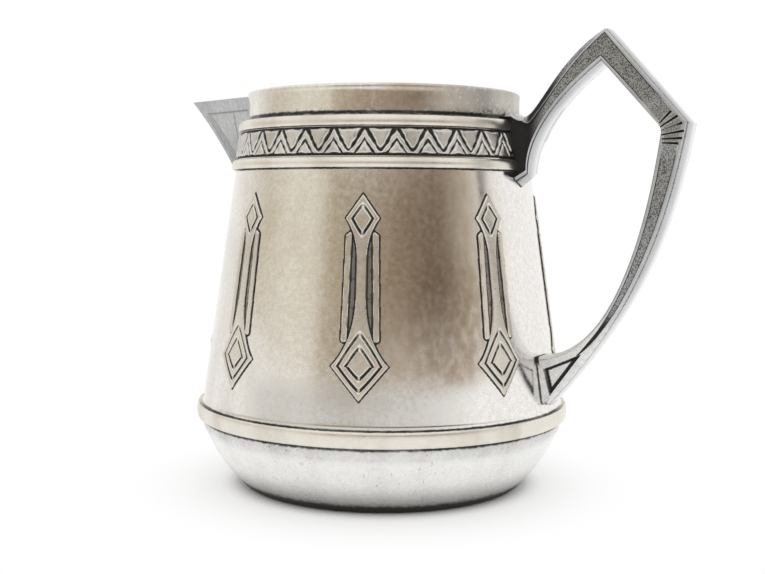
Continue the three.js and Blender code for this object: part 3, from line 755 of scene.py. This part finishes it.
def handleSection(length, sunk, black, slim, pinch, lean):  # half a section, from the outer face to the inner
    h = handle
    half = h["width"] / 2
    rounding = min(h["edge"] + h["footEdge"] * slim, h["edgeMost"] * length)
    border = min(h["border"], h["borderMost"] * length)
    border = max(border + (h["pinchMost"] * length - border) * pinch, rounding + 8 * h["step"])
    wall = min(h["wall"], h["wallMost"] * length) * (1 - h["wallPinch"] * pinch)
    wide = h["leanWide"] * lean
    crease = min(1, sunk / h["panelDepth"])
    out, deep, tone = h["chamfer"]
    plain, panelled = h["floorTone"]
    floor = (plain + (panelled - plain) * crease) * (1 - slim)
    # black takes the panel floor to full darkness: oxide, and near the root painted shade too
    floor += (1 - floor) * black * crease
    corner = [(rounding * math.cos(turn), half - rounding + rounding * math.sin(turn))
              for turn in np.linspace(0, math.pi / 2, 6)]
    line = faceLine(half, rounding)
    inside = length - 2 * border - 2 * wall - wide
    points = [(length + h["crown"] * (1 - (y / half) ** 2) - drop, y, t) for y, drop, t in line]
    # the leaned outer border is painted dark: a painted shade along that edge
    points += [(length - rounding + a, y - h["leanIn"] * lean, h["leanShadeTone"] * lean) for a, y in corner]
    points += [(length - rounding - h["step"] - wide, half, h["leanShadeTone"] * lean),
               (length - rounding - 3 * h["step"] - wide, half, 0),
               (length - border - wide + wall * out, half, 0),
               (length - border - wide, half - sunk * deep, floor * tone),
               (length - border - wide - wall, half - sunk, crease)]
    points += [(border + wall + inside * share, half - sunk, floor) for share in h["floorRows"]]
    points += [(border + wall, half - sunk, crease), (border, half - sunk * deep, floor * tone),
               (border - wall * out, half, 0)]
    points += [(rounding - a, y, 0) for a, y in corner[::-1]]
    return points + [(drop, y, t) for y, drop, t in line[::-1]]


def handleCutter():  # fan of narrow cuts over the elbow and a three-cornered sinking in the foot, both sides
    fan, panel = handle["fan"], handle["footPanel"]
    first, last = (upper(*handle["upper"][key]) for key in ("fanFirst", "fanLast"))
    half = handle["width"] / 2
    footHalf = half * (1 - handle["footSlim"])
    floor = footHalf - panel["depth"]
    points, faces, tarnish = [], [], []
    for side in (-1, 1):
        for share in np.linspace(0, 1, fan["cuts"]):
            steep, level = fan["turns"]
            turn = math.radians(level + (steep - level) * (1 - share) ** fan["bunched"])
            along = np.array((math.cos(turn), math.sin(turn)))
            across = np.array((-along[1], along[0])) * fan["width"] / 2
            near = first * (1 - share) + last * share
            far = near + along * (fan["length"] + fan["longer"] * math.sin(math.pi * share))
            faces += ringFaces(len(points), 2, 4)
            for y, wide in zip((half + fan["clear"], half - fan["depth"]), fan["taper"]):
                ends = ((near, -0.5), (far, -1), (far, 1), (near, 0.5))
                points += [(x, side * y, z) for x, z in (end + across * wide * grow for end, grow in ends)]
            tarnish += [1] * 8
        corners = [lower(*corner) for corner in panel["corners"]]
        middle = sum(corners) / 3
        faces += ringFaces(len(points), 4, 3)
        depths = (footHalf + panel["clear"], floor, floor, floor)
        for y, shift, size, tone in zip(depths, panel["shifts"], panel["sizes"], panel["tones"]):
            places = [middle + (corner - middle) * size for corner in corners]
            points += [(x - shift, side * y, z) for x, z in places]
            tarnish += [tone] * 3
    return newPiece("handleCutter", points, faces, tarnish)


def makeHandle():
    h = handle
    points, tarnish = [], []
    for far, near, sunk, black, root, slim, pinch, lean in handleStations():
        length = np.linalg.norm(far - near)
        way = (far - near) / length
        section = handleSection(length, sunk, black, slim, pinch, lean)
        ring = section + [(a, -y, t) for a, y, t in section[-2:0:-1]]
        for a, y, t in ring:
            x, z = near + way * a
            below = root * (1 - min(1, max(0, a / length))) ** 2
            z += h["rootSlope"] * abs(y) * below
            y *= (1 - h["rootPinch"] * below) * (1 - h["footSlim"] * slim)
            least = wallAt(z) - h["bury"]
            if x > 0 and math.hypot(x, y) < least:
                x = math.sqrt(least ** 2 - y ** 2)
            points.append((x, y, z))
            paintedSheen = 0
            # painted highlight: both faces get lighter towards one edge, carried in the attribute as values below
            # nothing
            if a < h["faceDepth"] or a > length - h["faceDepth"]:  # both faces brighten towards one edge
                paintedSheen = np.clip(h["sheenSlope"] * y / h["width"] + h["sheenMiddle"], 0, h["sheenMost"])
            tarnish.append(t * (1 - paintedSheen) - paintedSheen)
    faces = ringFaces(0, len(points) // len(ring), len(ring))
    piece = newPiece("castHandle", points, faces, tarnish, h["sharp"])
    cutter = handleCutter()
    carve(piece, cutter, h["sharp"])
    bpy.data.objects.remove(cutter)
    return piece


# finishes: seams are heights with the half width of their dirt
plating = {  # the same for all
    "oxideAndShade": (0.010, 0.009, 0.008), "oxideAndShadeDull": 0.9, "oxideAndShadeRough": 0.35, "soot": (0.05, 0.045, 0.04),
    "stainFade": (0.42, 0.66), "stainRough": 0.06, "shadeFade": (0.32, 0.68), "speckFade": (0.66, 0.71),
    "speckShare": 0.85, "dirtSpecks": 0.08, "roughSway": 0.16, "grainHigh": 0.5, "mottleHigh": 0.4,
    "scratchHigh": 0.25, "bumpStrength": 0.22, "bumpDepth": 0.05}
looks = {
    "bowlSilver": {
        "clean": (0.94, 0.94, 0.925), "stain": (0.70, 0.68, 0.64), "stainShare": 0.35, "mottle": 0.42, "rough": 0.24,
        # the seam at 1.0 mm is no joint: it is painted contact shade along the heel
        "grain": 0.9, "speck": 0.8, "speckFade": (0.63, 0.71), "seams": ((17.15, 0.55), (1.0, 1.2)),
        # the dark tone of the painted shade at the heel, also used under the band and for the dribbles
        "heel": (0.30, 0.30, 0.29)},
    "bandSilver": {
        "clean": (0.84, 0.80, 0.725), "stain": (0.54, 0.49, 0.41), "stainShare": 0.5, "mottle": 0.28, "rough": 0.3,
        "grain": 0.9, "speck": 0.5,
        "seams": ((17.3, 0.14), (21.2, 0.14), (78.6, 0.12), (81.1, 0.12), (88.0, 0.12), (90.5, 0.12))},
    "wallSilver": {
        "clean": (0.86, 0.845, 0.81), "stain": (0.52, 0.43, 0.33), "stainShare": 0.25, "mottle": 0.46, "rough": 0.16,
        "grain": 0.7, "speck": 0.6, "seams": ((21.2, 0.22), (78.5, 0.25), (91.1, 0.5))},
    "friezeSilver": {
        "clean": (0.74, 0.71, 0.66), "stain": (0.42, 0.39, 0.34), "stainShare": 0.6, "mottle": 0.6, "rough": 0.3,
        "grain": 2.4, "speck": 0.7, "ragged": 1.0},
    "ornamentSilver": {
        "clean": (0.76, 0.715, 0.635), "stain": (0.48, 0.43, 0.36), "stainShare": 0.5, "mottle": 0.4, "rough": 0.28,
        "grain": 1.4, "speck": 0.5, "ragged": 0.6},
    "spoutSilver": {
        "clean": (0.60, 0.605, 0.60), "stain": (0.32, 0.325, 0.32), "stainShare": 0.6, "mottle": 0.9, "rough": 0.36,
        "grain": 2.6, "speck": 0.6, "lineShare": 0.45, "lineFade": (0.1, 0.9)},
    "handleSilver": {
        "clean": (0.59, 0.595, 0.595), "stain": (0.34, 0.345, 0.345), "stainShare": 0.5, "mottle": 0.5, "rough": 0.3,
        "grain": 0.9, "speck": 0.6, "foot": (0.86, 0.855, 0.84), "footFade": (52, 38),
        # next: the colour of the painted highlight on the handle faces, then the panel tones
        "paintedSheen": (0.96, 0.96, 0.955), "panel": (0.39, 0.395, 0.395), "dots": (0.09, 0.092, 0.095)},
}
noises = {  # scale, detail, stretch, seed
    "cloud": (0.11, 4, (1, 1, 0.55), 3.1), "streak": (0.16, 3, (1, 1, 0.12), 8.2),
    "mottle": (0.9, 4, (1, 1, 1), 1.7), "grain": (4.2, 4, (1, 1, 1), 5.3), "fleck": (2.7, 2, (1, 1, 1), 11.0),
    "rust": (0.5, 7, (1, 1, 0.6), 31.0), "scored": (1.1, 2, (1, 1, 0.05), 44.0),
    "dots": (4.2, 3, (1, 1, 1), 21.0), "scratch": (0.8, 2, (1, 1, 9), 14.0)}


def sway(noise, size):  # to either side of nothing
    return (noise - 0.5) * size


def between(first, second, share):
    return first * (1 - share) + second * share


def readSurface(graph):  # places in millimetres and the noises that most finishes use
    place = graph.add("ShaderNodeVectorMath", {"operation": "SCALE"}, {
        0: graph.add("ShaderNodeTexCoord")["Object"], "Scale": 1 / mm})["Vector"]
    axes = graph.add("ShaderNodeSeparateXYZ", None, {0: place})
    usual = {name: graph.noise(place, *noises[name]) for name in ("cloud", "streak", "mottle", "grain", "fleck")}
    return SimpleNamespace(place=place, x=axes["X"], y=axes["Y"], z=axes["Z"],
                           turn=axes["Y"].angleFrom(axes["X"]), **usual)


wallWearAndHighlight = {
    "brownTurn": -0.78, "brownSpan": (0.44, 0.18), "brownSway": 0.3, "brownFoot": (26, 34), "brownFootSway": 5,
    "backTurn": 2.3, "backSpan": (0.7, 0.1), "backShare": 0.8, "rustFade": (0.25, 0.75),
    "blotchTurn": -0.68, "blotchNarrow": 3.6, "blotchHeight": 45, "blotchTall": 17, "blotchSpan": (1.2, 0.1),
    "blotchTone": (0.33, 0.25, 0.18), "footHeight": (34, 27), "footTurn": -1.2, "footSpan": (0.68, 0.5),
    "footTone": (0.52, 0.52, 0.515), "highlightFrom": (-0.6, -0.1), "highlightTo": (1.0, 0.6), "highlightWiden": 0.4,
    "highlightShare": 0.85, "highlightTone": (0.97, 0.965, 0.95), "collarFoot": (90.3, 90.7),
    "dullFrom": (-0.85, -0.45), "dullTo": (0.9, 0.5), "dullSway": 0.2, "dullShare": 0.75, "dullLeast": 0.35,
    "dullFade": (0.36, 0.6), "dullTone": (0.46, 0.445, 0.41), "dullRough": 0.3, "patchShare": 0.8,
    "patchFade": (0.5, 0.66), "patchTone": (0.84, 0.83, 0.80), "grimeShare": 0.8, "grimeHeight": (94.0, 91.6),
    "grimeSway": 6, "grimeFade": (0.46, 0.58)}


def wallColour(graph, look, p, stain):  # brown lobes, wiped foot, painted highlight beside the handle, dull end of the collar
    w = wallWearAndHighlight
    brown = abs(p.turn - w["brownTurn"] + sway(p.streak, w["brownSway"])).fade(*w["brownSpan"])
    behind = abs(p.turn - w["backTurn"] + sway(p.streak, 1)).fade(*w["backSpan"])
    tall = (p.z + sway(p.mottle, w["brownFootSway"])).fade(*w["brownFoot"])
    rust = graph.noise(p.place, *noises["rust"]).fade(*w["rustFade"])
    stain = stain.most(brown.most(behind * w["backShare"]) * tall * (0.35 + 0.4 * p.mottle + 0.35 * rust))
    blotch = (((p.turn - w["blotchTurn"]) * w["blotchNarrow"]) ** 2
              + ((p.z - w["blotchHeight"]) / w["blotchTall"]) ** 2).fade(*w["blotchSpan"])
    low = p.z.fade(*w["footHeight"])
    wiped = low * abs(p.turn - w["footTurn"]).fade(*w["footSpan"])
    wiped = wiped * (0.3 + 0.55 * between(p.mottle, p.grain, 0.6).fade(0.35, 0.65))
    # painted highlight: a near-white band beside the handle, below the collar
    sideHighlight = (p.turn + w["highlightWiden"] * low).fade(*w["highlightFrom"]) * p.turn.fade(*w["highlightTo"])
    sideHighlight = sideHighlight * p.z.fade(*w["collarFoot"][::-1])
    dull = p.z.fade(*w["collarFoot"]) * (p.turn + sway(p.streak, w["dullSway"])).fade(*w["dullFrom"])
    dull = dull * p.turn.fade(*w["dullTo"])
    smudge = dull * atLeast(w["dullLeast"], between(p.mottle, p.cloud, 0.5).fade(*w["dullFade"]))
    patches = dull * between(p.mottle, p.grain, 0.3).fade(*w["patchFade"])
    grime = (p.z + sway(p.cloud, w["grimeSway"])).fade(*w["grimeHeight"])
    grime = grime * between(p.mottle, p.grain, 0.5).fade(*w["grimeFade"])
    colour = graph.blend(stain, look["clean"], look["stain"])
    layers = ((blotch * (0.2 + 0.7 * rust), "blotchTone"), (wiped, "footTone"),
              (sideHighlight * w["highlightShare"], "highlightTone"), (smudge * w["dullShare"], "dullTone"),
              (patches * w["patchShare"], "patchTone"))
    for share, tone in layers:
        colour = graph.blend(share, colour, w[tone])
    return colour, stain, dull, dull * grime * w["grimeShare"]


bowlWearAndShade = {"heelShadeFade": (9, 1.8), "heelShadeSway": 2, "heelShadeShare": 0.8, "contactShadeFade": (3.3, 1.6), "contactShadeSway": 1.4,
            "underBand": (12.5, 16.5), "underSway": 3, "scoredFade": (0.64, 0.72), "scoredSpread": (0.4, 0.6),
            "scoredShare": 0.6}


def bowlColour(graph, look, p, colour):  # painted shade darkening to the heel, darker under the band, with upright dribbles
    w = bowlWearAndShade
    # painted shade: the bowl darkens towards its heel
    heel = (p.z + sway(p.mottle, w["heelShadeSway"])).fade(*w["heelShadeFade"])
    under = (p.z + sway(p.mottle, w["underSway"])).fade(*w["underBand"]) * (0.2 + 0.6 * p.streak)
    scored = graph.noise(p.place, *noises["scored"]).fade(*w["scoredFade"]) * p.cloud.fade(*w["scoredSpread"])
    colour = graph.blend(heel * w["heelShadeShare"], colour, look["heel"])
    return graph.blend(under.most(scored * w["scoredShare"]), colour, look["heel"])


seamDirtAndSheen = {"wander": 1.4, "core": (1.4, 0.4), "spread": (5, 0.5), "spreadFade": (0.35, 0.6), "clumps": (0.7, 1.3),
            "cameraTurn": -1.06, "wiped": 0.15, "sideSheenSpan": (0.1, 0.5)}


def seamDirt(look, p):  # dark lines, lightened by a painted sheen where the surface turns side-on to the camera, and the specks round them
    s = seamDirtAndSheen
    clumps = (p.grain * s["clumps"][0] + p.cloud * s["clumps"][1]).least(1.0)
    # painted sheen: seam lines fade where the surface turns side-on to the camera
    kept = atLeast(s["wiped"], abs((p.turn - s["cameraTurn"]).cosine()).fade(*s["sideSheenSpan"]))
    lines, dirt = [], 0
    for height, width in look.get("seams", ()):
        away = abs(p.z - height + sway(p.mottle, width * s["wander"]))
        core, spread = ((width * outer, width * inner) for outer, inner in (s["core"], s["spread"]))
        lines.append(away.fade(*core) * clumps * kept)
        dirt = dirt + away.fade(*spread) * p.cloud.fade(*s["spreadFade"])
    return lines, dirt


handleWear = {"sheenFade": (-0.05, -0.8), "panelFade": (0.1, 0.5), "dotFade": (0.42, 0.62), "inkFade": (0.6, 0.9),
              "jointFade": (0.4, 0.15), "jointSway": 0.3, "jointShare": 0.9, "hookFade": (0.9, 0.45),
              "hookLow": (32.4, 33.6), "hookHigh": (40, 38)}


def handleColour(graph, look, p, sunk, colour):  # painted highlight on the far face edges, dotted panels, black root with painted shade, dark joints
    w = handleWear
    panel = sunk.fade(*w["panelFade"])
    dots = graph.noise(p.place, *noises["dots"]).fade(*w["dotFade"])
    for share, tone in ((sunk.fade(*w["sheenFade"]), "paintedSheen"), (panel, "panel"), (panel * dots, "dots")):
        colour = graph.blend(share, colour, look[tone])
    standing = (p.x ** 2 + p.y ** 2) ** 0.5 - footRadius + (p.z - body["flareTop"]) * taper  # out from the wall
    joint = (standing + sway(p.mottle, w["jointSway"])).fade(*w["jointFade"]) * w["jointShare"]
    hook = standing.fade(*w["hookFade"]) * p.z.fade(*w["hookLow"]) * p.z.fade(*w["hookHigh"])
    return colour, [sunk.fade(*w["inkFade"]), joint, hook]


# rubbed is the colour of a painted highlight in a thin band beside the sunk lines; ground is oxide
reliefWearAndSheen = {"rubbed": (0.90, 0.885, 0.85), "edgeSheenFrom": (0.01, 0.1), "edgeSheenTo": (0.28, 0.14), "edgeSheenShare": 0.7,
              "ground": (0.17, 0.165, 0.15), "groundFade": (0.2, 0.5), "groundShare": 0.75, "inkFade": (0.42, 0.75)}


def reliefColour(graph, look, p, sunk, colour):  # painted highlight in a thin band beside the sunk lines, sunk lines black with ragged sides
    w = reliefWearAndSheen
    # painted highlight beside each dark line
    rubbed = sunk.fade(*w["edgeSheenFrom"]) * sunk.fade(*w["edgeSheenTo"])
    colour = graph.blend(rubbed * w["edgeSheenShare"], colour, w["rubbed"])
    colour = graph.blend(sunk.fade(*w["groundFade"]) * w["groundShare"], colour, w["ground"])
    ragged = sway(between(p.mottle, p.grain, 0.5), look["ragged"] * 2)
    return colour, [(sunk + ragged).fade(*w["inkFade"])]


def makeFinish(name):
    look = {**plating, **looks[name]}
    material, graph = newMaterial(name)
    p = readSurface(graph)
    stain = between(p.cloud, p.streak, 0.4).fade(*look["stainFade"]) * look["stainShare"]
    colour, dark, dull = graph.blend(stain, look["clean"], look["stain"]), [], None
    if name == "wallSilver":
        colour, stain, dull, grime = wallColour(graph, look, p, stain)
        dark.append(grime)
    if name == "bowlSilver":
        colour = bowlColour(graph, look, p, colour)
        # painted shade: the bowl's lowest edge goes black, standing in for the contact shadow
        dark.append((p.z + sway(p.mottle, bowlWearAndShade["contactShadeSway"])).fade(*bowlWearAndShade["contactShadeFade"]))
    if name == "handleSilver":
        colour = graph.blend(p.z.fade(*look["footFade"]), colour, look["foot"])
    shade = between(p.mottle, p.grain, 0.6).fade(*look["shadeFade"])
    colour = graph.blend((1 - shade) * look["mottle"], colour, look["stain"])
    lines, dirt = seamDirt(look, p)
    dark += lines
    spots = (between(p.fleck, p.grain, 0.3) + look["dirtSpecks"] * dirt).fade(*look["speckFade"])
    colour = graph.blend(spots * look["speck"] * look["speckShare"], colour, look["soot"])
    # the attribute holds oxide in hollows and the painted shade and highlight of the handle and ornaments
    sunk = graph.add("ShaderNodeAttribute", {"attribute_name": "tarnish"})["Fac"]
    if name == "handleSilver":
        colour, lines = handleColour(graph, look, p, sunk, colour)
        dark += lines
    if "ragged" in look:
        colour, lines = reliefColour(graph, look, p, sunk, colour)
        dark += lines
    if "lineShare" in look:
        dark.append(sunk.fade(*look["lineFade"]) * look["lineShare"])
    # black gathers oxide in hollows, dark joints and dirt, and the painted shade at the bowl's heel and on the
    # handle
    black = dark[0]
    for mask in dark[1:]:
        black = black.most(mask)
    rough = (look["rough"] + sway(p.mottle, look["roughSway"]) + black * look["oxideAndShadeRough"]
             + stain * look["stainRough"])
    if dull:
        rough = rough + dull * wallWearAndHighlight["dullRough"]
    scratches = graph.noise(p.place, *noises["scratch"]) * look["scratchHigh"]
    surface = p.grain * look["grainHigh"] * look["grain"] + p.mottle * look["mottleHigh"] + scratches
    bump = graph.add("ShaderNodeBump", None, {
        "Strength": look["bumpStrength"], "Distance": look["bumpDepth"] * mm, "Height": surface})["Normal"]
    shader = graph.add("ShaderNodeBsdfPrincipled", None, {
        "Base Color": graph.blend(black, colour, look["oxideAndShade"]), "Metallic": 1 - black * look["oxideAndShadeDull"],
        "Roughness": rough, "Normal": bump})["BSDF"]
    graph.add("ShaderNodeOutputMaterial", None, {"Surface": shader})
    return material


finishes = {name: makeFinish(name) for name in looks}
print("finishes made:", len(finishes))


def settle(piece, finish, slot, *nodes):
    piece.data.materials.clear()
    piece.data.materials.append(finishes[finish])
    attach(piece, "root")
    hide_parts(*nodes)
    print(piece.name, len(piece.data.polygons), "faces")


channel = spoutBlock("channelCutter", spout["cutLap"] - spout["sheet"])
room = spoutBlock("bandCutter", -spout["cutGap"])
settle(makeBowl(), "bowlSilver", "bowl_metal", "base_bowl")
settle(makeWire("baseBand", girthAt), "bandSilver", "band_metal", "base_band")
settle(carve(makeBarrel(), channel), "wallSilver", "wall_metal", "barrel")
settle(carve(makeWire("lowerBead", wallAt), room), "bandSilver", "band_metal", "lower_bead")
settle(carve(makeWire("upperBead", wallAt), room), "bandSilver", "band_metal", "upper_bead")
settle(carve(makeCollar(), channel), "wallSilver", "wall_metal", "collar")
settle(makeSpout(), "spoutSilver", "spout_metal", "spout")
settle(makeHandle(), "handleSilver", "handle_metal", "handle")
print("turned body, spout and handle made")

tree = wrapTree()
strip, rollRadius = friezeSheet("friezeStrip")
wrapOn(strip, tree, finishes["friezeSilver"], frieze["repeats"] // frieze["perLength"], 0.0, rollRadius)
settle(carve(strip, room, reliefSharp), "friezeSilver", "frieze_metal", "frieze_strip")
for i in range(ornament["count"]):
    spear = ornamentSheet(f"ornament{i + 1}")
    wrapOn(spear, tree, finishes["ornamentSilver"], 1, 2 * math.pi * (i + 0.5) / ornament["count"])
    settle(spear, "ornamentSilver", "ornament_metal", f"ornament_{i + 1}")
for cutter in (channel, room):
    bpy.data.objects.remove(cutter)
print("frieze and ornaments wrapped")

# stage, in metres: a white floor that fades into the surround, and a toned card for the metal to mirror
floor = {"half": 6.0, "paper": 0.97, "contact": (0.0335, 0.042), "contactGlow": 0.5, "fade": (0.034, 0.066)}
card = {"radius": 0.5, "low": 0.098, "high": 0.262, "turns": (-125, 95), "columns": 81, "rows": 9,
        "drop": 0.03, "dropEnd": (0.54, 0.14), "lowEdge": (0.0, 0.1), "highEdge": (1.0, 0.85), "stops": (
            (0.0, (0.95, 0.93, 0.90)), (0.08, (0.80, 0.77, 0.71)), (0.16, (0.72, 0.67, 0.57)),
            (0.27, (0.86, 0.825, 0.735)),
            (0.365, (0.80, 0.76, 0.66)), (0.40, (0.52, 0.45, 0.34)), (0.49, (0.42, 0.35, 0.26)),
            (0.58, (0.36, 0.285, 0.205)), (0.67, (0.24, 0.175, 0.12)), (0.745, (0.19, 0.14, 0.10)),
            (0.795, (0.42, 0.37, 0.31)), (0.84, (0.68, 0.64, 0.58)), (0.92, (0.86, 0.84, 0.80)),
            (1.0, (0.97, 0.96, 0.94)))}
white = (1, 1, 1, 1)


def makeFloor():
    half = floor["half"]
    corners = [(-half, -half, 0), (half, -half, 0), (half, half, 0), (-half, half, 0)]
    sheet = addMesh("floor", corners, [(0, 1, 2, 3)])
    material, graph = newMaterial("whiteFloor")
    place = graph.add("ShaderNodeTexCoord")["Object"]
    away = graph.add("ShaderNodeVectorMath", {"operation": "LENGTH"}, {0: place})["Value"]
    paper = graph.add("ShaderNodeBsdfDiffuse", None, {"Color": (*[floor["paper"]] * 3, 1)})["BSDF"]
    glow = graph.add("ShaderNodeEmission", None, {"Color": white, "Strength": 1.0})["Emission"]
    near = floor["contactGlow"]
    share = near * away.fade(*floor["contact"]) + (1 - near) * away.fade(*floor["fade"])
    mixed = graph.add("ShaderNodeMixShader", None, {0: share, 1: paper, 2: glow})
    graph.add("ShaderNodeOutputMaterial", None, {"Surface": mixed["Shader"]})
    sheet.data.materials.append(material)


def makeCard():
    c = card
    shares, rises = np.linspace(0, 1, c["columns"]), np.linspace(0, 1, c["rows"])
    front = math.radians(view["azimuth"] - 90)
    turns = np.radians(np.linspace(*c["turns"], c["columns"])) + front
    low = c["low"] - c["drop"] * (1 - edge(shares - c["dropEnd"][0], c["dropEnd"][1]))  # hangs lower on the left
    heights = rises[:, None] * (c["high"] - low) + low
    points = [(c["radius"] * math.cos(turn), c["radius"] * math.sin(turn), z)
              for row in heights for turn, z in zip(turns, row)]
    sheet = addMesh("tonedCard", points, gridFaces(c["rows"], c["columns"]),
                    share=np.tile(shares, c["rows"]), rise=np.repeat(rises, c["columns"]))
    material, graph = newMaterial("tonedCard")
    share = graph.add("ShaderNodeAttribute", {"attribute_name": "share"})["Fac"]
    rise = graph.add("ShaderNodeAttribute", {"attribute_name": "rise"})["Fac"]
    tone = graph.add("ShaderNodeValToRGB", {"stops": c["stops"]}, {"Fac": share})["Color"]
    tone = graph.blend(rise.fade(*c["lowEdge"]) * rise.fade(*c["highEdge"]), white[:3], tone)
    glow = graph.add("ShaderNodeEmission", None, {"Color": tone, "Strength": 1.0})["Emission"]
    graph.add("ShaderNodeOutputMaterial", None, {"Surface": glow})
    sheet.data.materials.append(material)
    sheet.visible_camera = False


def makeSurround():
    world = bpy.data.worlds.new("whiteSurround")
    world.use_nodes = True
    world.node_tree.nodes.clear()
    graph = Graph(world.node_tree)
    glow = graph.add("ShaderNodeBackground", None, {"Color": white, "Strength": 1.0})["Background"]
    graph.add("ShaderNodeOutputWorld", None, {"Surface": glow})
    scene.world = world


makeFloor()
makeCard()
makeSurround()
print("stage set")
